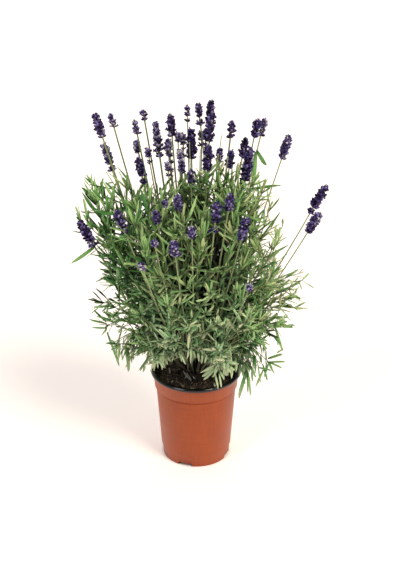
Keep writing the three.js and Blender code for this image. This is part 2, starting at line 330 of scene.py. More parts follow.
def pot_outline():
    rise = 1
    roll = LIP_DEPTH / 2
    outside = [(0, 0), (21, 0), (CHANNEL[0], CHANNEL_RISE), (CHANNEL[1], CHANNEL_RISE), (45.5, 0),
               (FOOT_RADIUS, 0), (wall_radius(FOOT_HEIGHT), FOOT_HEIGHT),
               (wall_radius(FOOT_HEIGHT + rise), FOOT_HEIGHT + rise),
               (wall_radius(SHOULDER - 3), SHOULDER - 3), (wall_radius(SHOULDER) - GROOVE, SHOULDER - 1.4),
               (wall_radius(SHOULDER) - GROOVE, SHOULDER), (wall_radius(SHOULDER + rise), SHOULDER + rise),
               (WALL_AT_LIP, LIP_BOTTOM)]
    lip = lip_arc((LIP_RADIUS - roll, LIP_BOTTOM + roll), roll, -90, 90, 8)
    lip += lip_arc((WALL_AT_LIP + 0.6, POT_HEIGHT - 0.9), 0.9, 90, 180, 3)
    inside = [(r - SHEET, z + 0.2) for r, z in reversed(outside[6:])]
    floor_line = [(FOOT_RADIUS - SHEET, SHEET), (46, SHEET), (CHANNEL[1] + 0.5, CHANNEL_RISE + SHEET),
                  (CHANNEL[0] - 0.5, CHANNEL_RISE + SHEET), (20.5, SHEET), (0, SHEET)]
    return outside + lip + inside + floor_line


def spin(outline):
    """A closed skin from an outline in millimetres that starts and ends on the axis."""
    bm = bmesh.new()
    verts = [bm.verts.new((r * MM, 0, z * MM)) for r, z in outline]
    edges = [bm.edges.new(pair) for pair in zip(verts, verts[1:])]
    bmesh.ops.spin(bm, geom=verts + edges, cent=(0, 0, 0), axis=(0, 0, 1), angle=math.tau,
                   steps=SPIN_STEPS, use_merge=True)
    bmesh.ops.remove_doubles(bm, verts=bm.verts, dist=1e-6)
    bmesh.ops.recalc_face_normals(bm, faces=bm.faces)
    return bm


def ring_edges(bm, sharpness):
    """Edges that run round the axis and turn by more than this angle, in degrees."""
    found = []
    for edge in bm.edges:
        a, b = (v.co for v in edge.verts)
        level = abs(a.z - b.z) < 1e-6 and abs(a.xy.length - b.xy.length) < 1e-6
        if level and len(edge.link_faces) == 2 and edge.calc_face_angle() > math.radians(sharpness):
            found.append(edge)
    return found


bm = spin(pot_outline())
bmesh.ops.bevel(bm, geom=ring_edges(bm, 14), offset=0.35 * MM, segments=2, profile=0.5,
                affect="EDGES", material=-1)
for face in bm.faces:
    middle = face.calc_center_median()
    outward = face.normal.xy.dot(middle.xy.normalized())
    face.smooth = True
    face.material_index = 1 if face.normal.z > 0.02 and outward < 0.3 else 0
    if middle.z > (LIP_BOTTOM - 0.2) * MM:
        face.material_index = 2
print("pot skin:", len(bm.faces), "faces")

# %% [markdown]
# ### Pot plastic
#
# The sheet is polypropylene, IOR 1.5. Drawing it over the mould leaves faint streaks up the wall,
# about 2 mm apart, and rings round it. Handling and potting dull it in soft patches, so roughness
# changes slowly round the pot. The black side is the same plastic, seen inside and on the lip.

# %% Pot materials
def drawn_plastic(name, base, worn, shine, dull, streaks, gloss):
    made, tree, shader = material(name)
    place = object_place(tree)
    tall = add(tree, "ShaderNodeMapping", Vector=place, Scale=(1, 1, 0.06)).outputs["Vector"]
    flat = add(tree, "ShaderNodeMapping", Vector=place, Scale=(0.02, 0.02, 1)).outputs["Vector"]
    drawn = mixed_value(tree, 0.4, speckle(tree, tall, 2.5, 3.0), speckle(tree, flat, 3, 2.0))
    patch = speckle(tree, place, 35, 4.0)
    paint(tree, shader, ramp(tree, mixed_value(tree, 0.45, drawn, patch), (0.3, base), (0.7, worn)))
    tree.links.new(mapped(tree, patch, 0.3, 0.7, shine, dull), shader.inputs["Roughness"])
    roughen(tree, shader, drawn, streaks, 0.2)
    shader.inputs["IOR"].default_value = 1.5
    shader.inputs["Specular IOR Level"].default_value = gloss
    return made


terracotta = drawn_plastic("terracotta polypropylene", "#8f3a13", "#a64b17", 0.34, 0.48, 0.1, 0.38)
black_inside = drawn_plastic("black polypropylene", "#0d0c0c", "#1b1918", 0.4, 0.6, 0.12, 0.4)
black_lip = drawn_plastic("glossy black lip", "#050505", "#0c0b0b", 0.1, 0.16, 0.03, 0.55)

# %% [markdown]
# ### Drainage
#
# Four notches in the foot ring let water out from under the pot, and four holes in the raised
# ring drain the soil. Both are cut with plain cutters and a boolean that is applied at once.

# %% Cut the drainage
DRAINS = 4
FIRST_NOTCH = math.radians(-109.5)


def cutter(build, turn):
    """A cutting tool made at the front of the X axis and turned about Z."""
    bm = bmesh.new()
    build(bm)
    bmesh.ops.rotate(bm, verts=bm.verts, matrix=Matrix.Rotation(turn, 3, "Z"))
    return linked("cutter", finished_mesh("cutter", bm))


def notch(bm):
    bmesh.ops.create_cube(bm, size=1)
    bmesh.ops.scale(bm, vec=Vector((16, 20, 9)) * MM, verts=bm.verts)
    bmesh.ops.bevel(bm, geom=list(bm.edges), offset=0.8 * MM, segments=2, profile=0.5,
                    affect="EDGES", material=-1)
    bmesh.ops.translate(bm, vec=Vector((FOOT_RADIUS + 2, 0, 0)) * MM, verts=bm.verts)


def drain_hole(bm):
    bmesh.ops.create_cone(bm, cap_ends=True, segments=24, radius1=4.5 * MM, radius2=4.5 * MM,
                          depth=12 * MM)
    bmesh.ops.translate(bm, vec=Vector((sum(CHANNEL) / 2, 0, CHANNEL_RISE)) * MM, verts=bm.verts)


def carve(solid, tools):
    """Cuts the tools out of a piece and throws them away."""
    for tool in tools:
        cut = solid.modifiers.new("cut", "BOOLEAN")
        cut.object = tool
        cut.solver = "EXACT"
    shown = solid.evaluated_get(bpy.context.evaluated_depsgraph_get())
    carved = bpy.data.meshes.new_from_object(shown)
    solid.modifiers.clear()
    solid.data = carved
    for tool in tools:
        bpy.data.objects.remove(tool)


pot = piece("pot", bm, [terracotta, black_inside, black_lip], "pot_plastic", "grower_pot")
quarter = math.tau / DRAINS
carve(pot, [cutter(notch, FIRST_NOTCH + n * quarter) for n in range(DRAINS)]
      + [cutter(drain_hole, FIRST_NOTCH + (n + 0.5) * quarter) for n in range(DRAINS)])
print("pot after cutting:", len(pot.data.polygons), "faces")

# %% [markdown]
# ## The soil
#
# Peat compost is a dark crumb with paler fibres and bits of bark. The plug is spun like the pot,
# and its top is pushed up and down by noise at two sizes: low mounds and crumbs. Loose crumbs,
# fibres and bark lie on it. Each is a shape of a few faces, because there are hundreds.

# %% Soil plug
soil_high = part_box("potting_soil")[1]
SOIL_RADIUS = soil_high.x / MM
SOIL_TOP = 126


def soil_height(x, y):
    """The soil's top in metres, mounded to the middle."""
    level = SOIL_TOP + 2.5 * (1 - math.hypot(x, y) / (SOIL_RADIUS * MM)) - 1
    mounds = 1.8 * noise.noise(Vector((x, y, 0)) / (22 * MM))
    clods = 1.3 * noise.noise(Vector((x, y, 3)) / (6 * MM))
    fine = min(1, math.hypot(x, y) / (25 * MM))
    crumbs = 0.7 * fine * noise.noise(Vector((x, y, 7)) / (2.2 * MM))
    return (level + mounds + clods + crumbs) * MM


rings = 38
plug = [(0, 6.5), (45.5, 6.5), (SOIL_RADIUS - 1, SOIL_TOP - 8), (SOIL_RADIUS, SOIL_TOP - 2)]
plug += [(SOIL_RADIUS * (1 - n / rings), SOIL_TOP) for n in range(rings + 1)]
bm = spin(plug)
for vert in bm.verts:
    if vert.co.z > (SOIL_TOP - 1) * MM:
        vert.co.z = soil_height(vert.co.x, vert.co.y)
smooth_faces(bm)

# %% Soil material
# Damp peat: matt, nearly black, with brown flecks a few millimetres across.
damp_peat, tree, shader = material("damp peat compost")
place = object_place(tree)
fleck = speckle(tree, place, 3, 6.0, Roughness=0.7)
paint(tree, shader, ramp(tree, fleck, (0.38, "#15110d"), (0.5, "#3a2f24"), (0.6, "#675341"),
                         (0.72, "#8a735b")))
shader.inputs["Roughness"].default_value = 0.95
roughen(tree, shader, speckle(tree, place, 1, 4.0), 0.8, 0.6)
soil = piece("soil", bm, [damp_peat], "soil", "potting_soil")
print("soil:", len(soil.data.polygons), "faces, top near", SOIL_TOP, "mm")

# %% [markdown]
# ## Stamping patterns
#
# Crumbs, leaves and florets repeat by the hundred. Each is modelled once as a small pattern mesh,
# and a stamp adds a copy of it at a matrix. Every copy carries two numbers on its points: `tint`,
# which is drawn once for each copy, and `along`, which runs from its foot to its tip. The
# materials read both, so no two leaves have quite the same colour.

# %% Patterns and stamps
def new_bmesh():
    """An empty bmesh that carries tint and along."""
    bm = bmesh.new()
    bm.verts.layers.float.new("tint")
    bm.verts.layers.float.new("along")
    return bm


def draw_out(bm, face, stations):
    """Pulls a face along a list of (matrix, along) stations, leaving its skin behind."""
    along_layer = bm.verts.layers.float["along"]
    for vert in face.verts:
        vert[along_layer] = stations[0][1]
    for (before, _), (after, along) in zip(stations, stations[1:]):
        grown = bmesh.ops.extrude_face_region(bm, geom=[face])["geom"]
        face = next(g for g in grown if isinstance(g, bmesh.types.BMFace))
        bmesh.ops.transform(bm, matrix=after @ before.inverted(), verts=face.verts)
        for vert in face.verts:
            vert[along_layer] = along


def first_face(bm, sides, station):
    """A disc of this many sides across the Y axis, moved to its first station."""
    made = bmesh.ops.create_circle(bm, cap_ends=True, segments=sides, radius=1)
    bmesh.ops.rotate(bm, verts=made["verts"], matrix=Matrix.Rotation(math.pi / 2, 3, "X"))
    bmesh.ops.transform(bm, matrix=station, verts=made["verts"])
    return made["verts"][0].link_faces[0]


def pattern(name, bm):
    """Keeps a finished pattern as a mesh that stamps copy from."""
    bmesh.ops.recalc_face_normals(bm, faces=bm.faces)
    smooth_faces(bm)
    return finished_mesh(name, bm)


scratch = bpy.data.meshes.new("scratch")


def stamp(bm, mesh, matrix, tint, slot=0):
    """Adds a copy of a pattern to bm."""
    copy = bmesh.new()
    copy.from_mesh(mesh)
    copy.transform(matrix)
    layer = copy.verts.layers.float["tint"]
    for vert in copy.verts:
        vert[layer] = tint
    for face in copy.faces:
        face.material_index = slot
    copy.to_mesh(scratch)
    copy.free()
    bm.from_mesh(scratch)


def grown_frame(origin, direction, facing, size, width=1.0):
    """A matrix whose Y runs along direction and whose Z leans towards facing."""
    y = direction.normalized()
    x = y.cross(facing)
    x = x.normalized() if x.length > 1e-6 else y.orthogonal().normalized()
    z = x.cross(y)
    turn = Matrix((x, y, z)).transposed().to_4x4()
    return Matrix.Translation(origin) @ turn @ Matrix.Diagonal((size * width, size, size * width, 1))


# %% Crumbs and fibres on the soil
def crumb_pattern():
    bm = new_bmesh()
    bmesh.ops.create_icosphere(bm, subdivisions=1, radius=1 * MM)
    for vert in bm.verts:
        vert.co *= 0.75 + 0.5 * noise.noise(vert.co / (0.7 * MM) + Vector((5, 1, 2)))
    return pattern("crumb", bm)


def fibre_pattern():
    bm = new_bmesh()
    stations = []
    for n in range(5):
        t = n / 4
        bend = Matrix.Translation(Vector((1.6 * math.sin(2.2 * t), 14 * t, 0.5 * math.sin(4 * t))) * MM)
        stations.append((bend @ Matrix.Scale((0.4 - 0.1 * t) * MM, 4), t))
    draw_out(bm, first_face(bm, 4, stations[0][0]), stations)
    return pattern("fibre", bm)


CRUMBS = 2400
FIBRE_EVERY = 12
draw = random.Random(4)
crumb, fibre = crumb_pattern(), fibre_pattern()
bm = new_bmesh()
for n in range(CRUMBS):
    reach = (SOIL_RADIUS - 2) * MM * math.sqrt(draw.random())
    angle = draw.uniform(0, math.tau)
    x, y = reach * math.cos(angle), reach * math.sin(angle)
    spot = Vector((x, y, soil_height(x, y)))
    facing = Vector((draw.gauss(0, 0.5), draw.gauss(0, 0.5), 1))
    direction = Vector((draw.gauss(0, 1), draw.gauss(0, 1), draw.gauss(0, 0.15)))
    if n % FIBRE_EVERY:
        size = min(2.6, 0.5 + draw.expovariate(2.0))
        stamp(bm, crumb, grown_frame(spot, direction, facing, size, draw.uniform(0.6, 1)), draw.random())
    elif reach < (SOIL_RADIUS - 16) * MM:
        stamp(bm, fibre, grown_frame(spot, direction, facing, draw.uniform(0.4, 1.0)), draw.random())

crumbly, tree, shader = material("peat crumbs, bark and fibre")
paint(tree, shader, ramp(tree, attribute(tree, "tint"), (0.0, "#120d0a"), (0.4, "#2b221a"),
                         (0.65, "#564637"), (0.85, "#877159"), (1.0, "#b3a083")))
shader.inputs["Roughness"].default_value = 0.92
litter = piece("soil_crumbs", bm, [crumbly], "soil")
print("soil crumbs:", len(litter.data.polygons), "faces")

# %% [markdown]
# ## Where the stalks run
#
# Each CAD node is a stalk with plain leaves or a plain spike on it, and its line is found again
# from its points. A flower stem is even all round its line, so one cubic through all its points is
# the line. On a leafy shoot the leaves pull to one side. There, shells round the crown each keep
# their densest knot of points, which is the stalk itself, and the cubic runs through the knots.

# %% Read a node's points
crown_low, crown_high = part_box("woody_crown")
CROWN_CENTRE = Vector((0, 0, 0.120))
HEART = np.array(CROWN_CENTRE)


def node_points(name):
    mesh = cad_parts[name].data
    points = np.empty(len(mesh.vertices) * 3, dtype=np.float32)
    mesh.vertices.foreach_get("co", points)
    return np.unique(points.reshape(-1, 3).round(5), axis=0)


def knots(points, shells):
    """The middle of the densest knot of points in each shell round the crown."""
    reach = np.linalg.norm(points - HEART, axis=1)
    edges = np.linspace(reach.min(), reach.max(), shells + 1)
    found = []
    for low, high in zip(edges, edges[1:]):
        inside = points[(reach >= low) & (reach <= high)]
        if len(inside) > 2:
            gaps = np.linalg.norm(inside[:, None] - inside[None], axis=2) < 3 * MM
            found.append(inside[gaps[gaps.sum(axis=1).argmax()]].mean(axis=0))
    return np.array(found)


def cubic_line(points, start, end, samples=60):
    """Points along the cubic that fits these points best, by their distance from the crown."""
    reach = np.linalg.norm(points - HEART, axis=1)
    curve = np.polynomial.polynomial.polyfit(reach, points, 3)
    steps = np.linspace(start, end, samples)
    return [Vector(p) for p in np.polynomial.polynomial.polyval(steps, curve).T]


# %% Stalks
class Stalk:
    """A line that gives a point and a direction at any distance along it."""

    def __init__(self, line):
        self.line = line
        self.at = [0.0]
        for before, after in zip(line, line[1:]):
            self.at.append(self.at[-1] + (after - before).length)
        self.length = self.at[-1]

    def place(self, distance):
        n = min(len(self.at) - 2, max(0, int(np.searchsorted(self.at, distance)) - 1))
        return n, (distance - self.at[n]) / (self.at[n + 1] - self.at[n])

    def point(self, distance):
        n, share = self.place(distance)
        return self.line[n].lerp(self.line[n + 1], share)

    def direction(self, distance):
        n, share = self.place(distance)
        before = self.line[n] - self.line[max(0, n - 1)] if n else self.line[1] - self.line[0]
        return before.lerp(self.line[n + 1] - self.line[n], 0.5 + share / 2).normalized()


def stalk_of(name):
    points = node_points(name)
    reach = np.linalg.norm(points - HEART, axis=1)
    seen = points if name.startswith("flower") else knots(points, 9)
    end = reach.max() if name.startswith("flower") else np.linalg.norm(seen[-1] - HEART)
    return Stalk(cubic_line(seen, reach.min() - 4 * MM, end))


shoots = {n: stalk_of(n) for n in sorted(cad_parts) if n.startswith("leafy_shoot")}
flower_stalks = {n: stalk_of(n) for n in sorted(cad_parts) if n.startswith("flower_stem")}
print("stalks:", len(shoots), "leafy,", len(flower_stalks), "flowering")


# %% Find the spikes
def spike_stretches(name, stalk):
    """The stretches of a stalk, as distances, where its CAD node is wider than a stem."""
    points = node_points(name)
    dense = [stalk.length * n / 400 for n in range(401)]
    line = np.array([stalk.point(here) for here in dense])
    gaps = np.linalg.norm(points[:, None] - line[None], axis=2)
    wide = gaps.min(axis=1) > 2.5 * MM
    wide &= np.linalg.norm(points - HEART, axis=1) > 0.3 * stalk.length
    places = sorted(dense[n] for n in gaps.argmin(axis=1)[wide])
    stretches = [[places[0], places[0]]]
    for here in places:
        if here - stretches[-1][1] > 7 * MM:
            stretches.append([here, here])
        stretches[-1][1] = here
    return stretches


SPIKES = {name: spike_stretches(name, stalk) for name, stalk in flower_stalks.items()}
print("spikes from", round(min(s[-1][1] - s[-1][0] for s in SPIKES.values()) / MM), "to",
      round(max(s[-1][1] - s[-1][0] for s in SPIKES.values()) / MM), "mm long")


# %% A tube along a stalk
def tube(bm, stalk, start, end, radius, tip_radius, sides, steps, slot, tint):
    """A tapered stem with this many sides, drawn out along part of a stalk."""
    stations = []
    for n in range(steps + 1):
        t = n / steps
        here = start + (end - start) * t
        size = (radius + (tip_radius - radius) * t) * MM
        upright = Vector((0.3, 0.2, 1))
        stations.append((grown_frame(stalk.point(here), stalk.direction(here), upright, size), t))
    small = new_bmesh()
    draw_out(small, first_face(small, sides, stations[0][0]), stations)
    bmesh.ops.recalc_face_normals(small, faces=small.faces)
    layer = small.verts.layers.float["tint"]
    for vert in small.verts:
        vert[layer] = tint
    for face in small.faces:
        face.material_index = slot
        face.smooth = sides > 4
    small.to_mesh(scratch)
    small.free()
    bm.from_mesh(scratch)


# %% [markdown]
# ## The leaves
#
# A lavender leaf is a narrow blunt strip. High on the plant it is about 42 mm long and 4 mm wide,
# low down 23 mm and 3 mm. Its midrib is sunk and its edges roll under, so it shows two soft
# ridges. On a large leaf that section is a hexagon with its top and bottom points pushed in, and
# a small leaf makes do with a flat diamond. Either is pulled out along a line that bends. A few
# bends are made once, and every leaf on the plant is one of them.

# %% Leaf patterns
LEAF_OUTLINE = [(0.0, 0.5), (0.22, 0.86), (0.55, 1.0), (0.88, 0.9), (1.0, 0.45)]
LEAF_THICKNESS = 0.4
HEXAGON, DIAMOND = 6, 4
TOP_AND_BOTTOM = {HEXAGON: (0.2, 0.1), DIAMOND: (0.3, 0.7)}


def leaf_pattern(name, sides, bend, sweep, twist):
    """A leaf of length 1 and width 1 that bends down, sweeps and twists by these degrees."""
    stations = []
    spot = Vector()
    before = 0.0
    for t, width in LEAF_OUTLINE:
        turn = (Matrix.Rotation(math.radians(sweep * t), 4, "Z")
                @ Matrix.Rotation(math.radians(bend * t ** 1.3), 4, "X")
                @ Matrix.Rotation(math.radians(twist * t), 4, "Y"))
        spot = spot + turn @ Vector((0, t - before, 0))
        before = t
        size = Matrix.Diagonal((width / 2, 1, LEAF_THICKNESS * width ** 0.5 / 2, 1))
        stations.append((Matrix.Translation(spot) @ turn @ size, t))
    bm = new_bmesh()
    face = first_face(bm, sides, Matrix.Identity(4))
    high, low = TOP_AND_BOTTOM[sides]
    for vert in face.verts:
        if abs(vert.co.x) < 0.1:
            vert.co.z *= high if vert.co.z > 0 else low
    bmesh.ops.transform(bm, matrix=stations[0][0], verts=face.verts)
    draw_out(bm, face, stations)
    return pattern(name, bm)


bends = [(-110, 8, 20), (-85, -16, -30), (-64, 18, 15), (-46, -12, 35), (-30, 16, -30), (-16, -20, 12),
         (0, 14, -15), (14, -16, 25), (30, 12, -35)]
large_leaves = [leaf_pattern(f"large_leaf_{n}", HEXAGON, *angles) for n, angles in enumerate(bends)]
small_leaves = [leaf_pattern(f"small_leaf_{n}", DIAMOND, *angles) for n, angles in enumerate(bends)]
print("leaf patterns:", len(bends), "bends of", len(large_leaves[0].polygons), "and",
      len(small_leaves[0].polygons), "faces")

# %% [markdown]
# ### Leaf and stem finish
#
# Fine hairs lie over a lavender leaf and turn its green grey, more so on the old leaves low on the
# plant. The tint gives each leaf its own green, height turns the low ones grey, and sheen stands
# for the felt. A leaf's foot sits in the shade of its pair, so a painted shade draws it darker.
# Leaves deep in the bush get little light, so a painted shade scales the colour down by how near
# the axis a point lies, measured by the girth of the bush at its height.

# %% Leaf material
def with_painted_depth_shade(tree, place, colour, inner, outer, least):
    """The colour with a painted shade: scaled down to its least share near the axis of the bush, but not
    near its top.
    """
    parts = add(tree, "ShaderNodeSeparateXYZ", Vector=place).outputs
    flat = add(tree, "ShaderNodeCombineXYZ", X=parts["X"], Y=parts["Y"]).outputs["Vector"]
    girth = mapped(tree, parts["Z"], 0.14, 0.34, 0.07, 0.14)
    depth = worked(tree, "DIVIDE", length_of(tree, flat), girth)
    side = mapped(tree, depth, inner, outer, least, 1.0, smooth=True)
    top = mapped(tree, parts["Z"], 0.31, 0.42, 0.0, 1.0, smooth=True)
    return scaled(tree, colour, worked(tree, "MAXIMUM", side, top))


felted_leaf, tree, shader = material("felted green leaf")
tint, along, place = attribute(tree, "tint"), attribute(tree, "along"), object_place(tree)
height = part_of(tree, place, "Z")
young = ramp(tree, tint, (0.0, "#163f12"), (0.3, "#43823a"), (0.6, "#8abc6c"), (0.88, "#afcd86"),
             (1.0, "#c0cc8c"))
grey = ramp(tree, tint, (0.0, "#204828"), (0.3, "#629a62"), (0.6, "#a5cd99"), (0.88, "#c8ddae"),
            (1.0, "#d8dab4"))
side = mapped(tree, worked(tree, "ABSOLUTE", part_of(tree, place, "X")), 0.04, 0.08, 0.0, 0.75)
lift = worked(tree, "MAXIMUM", mapped(tree, height, 0.22, 0.34, 0.0, 1.0), side)
body = mixed_colour(tree, lift, grey, young)
low_tip = worked(tree, "MULTIPLY", mapped(tree, height, 0.18, 0.24, 0.8, 0.16),
                 mapped(tree, side, 0.1, 0.75, 1.0, 0.25))
shown = mixed_colour(tree, mapped(tree, along, 0.3, 1.0, 0.0, low_tip), body, "#c8d2aa")
# Painted shade at each leaf's foot, where its pair shades it.
shaded = scaled(tree, shown, mapped(tree, along, 0.0, 0.35, 0.3, 1.0))
# Painted shade deep in the bush, near its axis, where little light reaches.
paint(tree, shader, with_painted_depth_shade(tree, place, shaded, 0.33, 0.76, 0.03))
roughen(tree, shader, speckle(tree, place, 0.8, 3.0), 0.3, 0.1)
shader.inputs["Roughness"].default_value = 0.6
shader.inputs["Specular IOR Level"].default_value = 0.25
shader.inputs["Sheen Weight"].default_value = 0.05
shader.inputs["Sheen Roughness"].default_value = 0.5

# %% Stem material
# Young stems are felted too, paler and yellower than the leaves.
green_stem, tree, shader = material("felted green stem")
place = object_place(tree)
both = mixed_value(tree, 0.5, attribute(tree, "tint"), speckle(tree, place, 4, 3.0))
stem_green = ramp(tree, both, (0.2, "#5c7144"), (0.5, "#7e915f"), (0.8, "#a2aa78"))
# Painted shade: the stems, like the leaves, are scaled darker near the axis of the bush.
paint(tree, shader, with_painted_depth_shade(tree, place, stem_green, 0.2, 0.6, 0.1))
shader.inputs["Roughness"].default_value = 0.7
shader.inputs["Sheen Weight"].default_value = 0.2

# %% [markdown]
# ## Leafy shoots
#
# Leaves stand in opposite pairs, each pair turned a quarter from the one below. In the angle of
# each leaf sits a tuft of small young leaves, and side twigs grow out and end in a star of leaves.
# Each CAD shoot stands for a bundle of two or three that start together. The bush keeps a shape:
# a vase that is widest near its top, clear of the pot at the front, and hanging over the lip in
# three places. A leaf that would stand outside that shape is left out.

# %% The shape of the bush
UP = Vector((0, 0, 1))
margin = Vector([0.03 * (high - low) + 6 * MM for low, high in zip(cad_low, cad_high)])
room_low, room_high = cad_low - margin, cad_high + margin
BUSH_HEIGHTS = (110, 137, 150, 168, 200, 230, 262, 290, 322, 351, 381, 410, 430, 450)
LEFT_RADII = (84, 88, 100, 110, 132, 150, 144, 140, 154, 166, 166, 162, 154, 126)
RIGHT_RADII = (84, 88, 98, 108, 122, 144, 156, 152, 136, 126, 120, 108, 98, 84)
TOP_PLACES = (-150, -100, -50, 0, 30, 80, 120)
TOP_HEIGHTS = (430, 438, 414, 438, 454, 444, 412)
HANGING_PLACES = [  # azimuth in degrees, depth in millimetres, narrowness
    (-20, 26, 8), (-52, 30, 10), (-160, 10, 10),
]


def lowest(point):
    """How low a leaf may hang, in metres. The front is lifted, to show the soil."""
    x, y = point.x / MM, point.y / MM
    reach = math.hypot(x, y)
    height = 150 + 0.48 * max(0.0, -y) + 20 * max(0.0, 1 - (x / 45) ** 2)
    for azimuth, depth, narrow in HANGING_PLACES:
        height -= depth * max(0.0, math.cos(math.atan2(y, x) - math.radians(azimuth))) ** narrow
    return (height if reach > LIP_RADIUS + 5 else max(height, 142)) * MM


def has_room(point, slack=0.0):
    inside = all(low < c < high for low, c, high in zip(room_low, point, room_high))
    height, reach = point.z / MM, point.xy.length / MM
    top = float(np.interp(point.x / MM, TOP_PLACES, TOP_HEIGHTS)) - 0.38 * point.y / MM
    right = 0.5 + 0.5 * point.x / MM / (reach + 1)
    limit = (right * np.interp(height, BUSH_HEIGHTS, RIGHT_RADII)
             + (1 - right) * np.interp(height, BUSH_HEIGHTS, LEFT_RADII))
    return inside and reach < limit + slack and lowest(point) / MM - slack < height < top + slack


def habit(point):
    """0 low on the plant, where leaves are small and hang, to 1 near its top."""
    return unit((point.z - 0.19) / 0.17)


FACE = Vector((0, -0.9, 0.44))
DARK_GAPS = [  # seen from the front: x, height at the axis, half width, half height, in millimetres
    (-17, 188, 6, 13), (50, 184, 6, 15), (31, 187, 5, 9), (-66, 208, 6, 14), (-47, 190, 4, 8),
    (-79, 322, 8, 14), (32, 310, 8, 16),
]


def kept(point):
    """The share of leaves kept here: fewer between the shoots at the front, and on the airy side."""
    x, y, z = point / MM
    level = z + y * FACE.z / -FACE.y
    for gap_x, gap_level, half_width, half_height in DARK_GAPS:
        if y < -15 and math.hypot((x - gap_x) / half_width, (level - gap_level) / half_height) < 1:
            return 0.1
    share = 1 - 0.35 * max(0.0, airiness_and_painted_light(point))
    if z > 365 and -125 < x < -45:
        share *= 0.78
    return 0.8 * share if y < -15 and abs(x) < 65 and 268 < z < 345 else share


def airiness_and_painted_light(point):
    """1 on the airy right side high on the bush, which has fewer, narrower leaves and painted light, -1 on
    its dense left and low right sides, which have painted shade.
    """
    x, z = point.x / MM, point.z / MM
    under = unit((x - 25) / 25) * unit((245 - z) / 40)
    airy = unit((x - 45) / 50) * unit((z - 215) / 60)
    dense = unit((-x - 45) / 50) * unit(min((z - 215) / 60, (425 - z) / 60))
    return airy - dense - under


SPIKE_FEET = np.array([stalk.point(SPIKES[name][-1][0]) for name, stalk in flower_stalks.items()])
SPIKE_TIPS = np.array([stalk.point(stalk.length) for stalk in flower_stalks.values()])


def covers_spike(point):
    """True for a point close in front of a flower spike. Spikes stand clear on the plant's face."""
    face = np.array(FACE)
    away = np.array(point) - SPIKE_FEET
    axis = SPIKE_TIPS - SPIKE_FEET
    before = away @ face
    away = away - np.outer(before, face)
    axis = axis - np.outer(axis @ face, face)
    share = np.clip((away * axis).sum(axis=1) / (axis * axis).sum(axis=1), 0, 1)
    gap = np.linalg.norm(away - axis * share[:, None], axis=1)
    return bool(((gap < 7 * MM) & (before > -6 * MM) & (before < 110 * MM)).any())


# %% One leaf
def place_leaf(bm, draw, origin, direction, facing, length, width, tint, slot=0):
    """One leaf, of a length and width in millimetres, if there is room for it."""
    low = 1 - habit(origin)
    hang = max(0.0, min(0.9, (0.212 - origin.z) / 0.045 + draw.gauss(0, 0.2)))
    direction = (direction + jitter(draw, 0.16)).lerp(-UP, hang * 0.85).normalized()
    middle, tip = (origin + direction * length * share * MM for share in (0.55, 1.0))
    if draw.random() > min(kept(origin), kept(middle)):
        return
    if not has_room(tip, min(9, draw.expovariate(0.2))):
        return
    if covers_spike(middle) or covers_spike(tip):
        return
    painted_light_and_airiness = airiness_and_painted_light(origin)
    # Painted light and shade: the tint is raised on the lit right side high on the bush and lowered on the
    # shaded left and low right sides.
    tint = unit(tint + 0.22 * painted_light_and_airiness)
    width *= 1 - 0.16 * max(0.0, painted_light_and_airiness)
    patterns = small_leaves if low > 0.35 else large_leaves
    patterns = patterns[2:6] if hang > 0.3 else patterns
    matrix = grown_frame(origin, direction, facing + side_lean(direction, hang), MM)
    matrix = matrix @ Matrix.Diagonal((width, length, width, 1))
    stamp(bm, draw.choice(patterns), matrix, tint, slot)


def side_lean(direction, hang):
    """Turns a hanging leaf's face outwards."""
    return Vector((direction.x, direction.y, 0.6)) * (0.4 + hang)


# %% A leafy length of stalk
def side_of(tangent, turn):
    """A direction square to the tangent, turned round it from level."""
    level = tangent.cross(UP)
    level = level.normalized() if level.length > 1e-3 else Vector((1, 0, 0))
    return Matrix.Rotation(turn, 3, tangent) @ level


def spread_from(tangent, side, angle):
    return tangent * math.cos(angle) + side * math.sin(angle)


def pairs(bm, draw, stalk, start, end, share, tuft):
    """Pairs of leaves between two distances, this share of full size, with small ones beside them."""
    turn = draw.uniform(0, math.pi)
    here = start
    while here < end:
        t = (here - start) / (end - start)
        origin, tangent = stalk.point(here), stalk.direction(here)
        high = habit(origin)
        for facing in (0, math.pi):
            side = side_of(tangent, turn + facing + draw.gauss(0, 0.25))
            angle = math.radians(62 - 28 * t + draw.gauss(0, 9))
            length = (23 + 19 * high) * share * (1.1 - 0.3 * t) * draw.uniform(0.75, 1.15)
            width = (3.2 + 0.6 * high) * draw.uniform(0.85, 1.15) * max(1, share) ** 0.5
            if draw.random() < (0.14 if high > 0.5 else 0.06):
                length, width = length * 1.35, width * 1.35
            place_leaf(bm, draw, origin, spread_from(tangent, side, angle), tangent, length, width,
                       draw.random())
            while draw.random() < tuft:
                near = side_of(tangent, turn + facing + draw.gauss(0, 0.7))
                place_leaf(bm, draw, origin, spread_from(tangent, near, angle * draw.uniform(0.4, 1)),
                           tangent, (12 + 6 * high) * draw.uniform(0.7, 1.2), draw.uniform(2.2, 3.0),
                           draw.uniform(0.45, 1.0))
        turn += math.pi / 2
        here += (8 + 4 * high) * MM


def star(bm, draw, stalk, end, count):
    """The rosette of leaves at the end of a shoot or twig."""
    origin, tangent = stalk.point(end), stalk.direction(end)
    high = habit(origin)
    turn = draw.uniform(0, math.tau)
    for n in range(count):
        side = side_of(tangent, turn + n * math.tau / count + draw.gauss(0, 0.2))
        angle = math.radians(draw.uniform(8, 62 - 22 * high))
        place_leaf(bm, draw, origin, spread_from(tangent, side, angle), tangent,
                   (20 + 13 * high) * draw.uniform(0.65, 1.1), (3.1 + 0.4 * high) * draw.uniform(0.85, 1.1),
                   draw.uniform(0.45, 1.0))


# %% Twigs and bundles
def twig_line(draw, origin, tangent, side, length, rise):
    """A twig that leaves its shoot at an angle and curves up."""
    direction = spread_from(tangent, side, 0.7).normalized()
    line = [origin]
    steps = 8
    for n in range(steps):
        direction = (direction + (UP * rise + jitter(draw, 0.35)) / steps).normalized()
        line.append(line[-1] + direction * length * MM / steps)
    return Stalk(line)


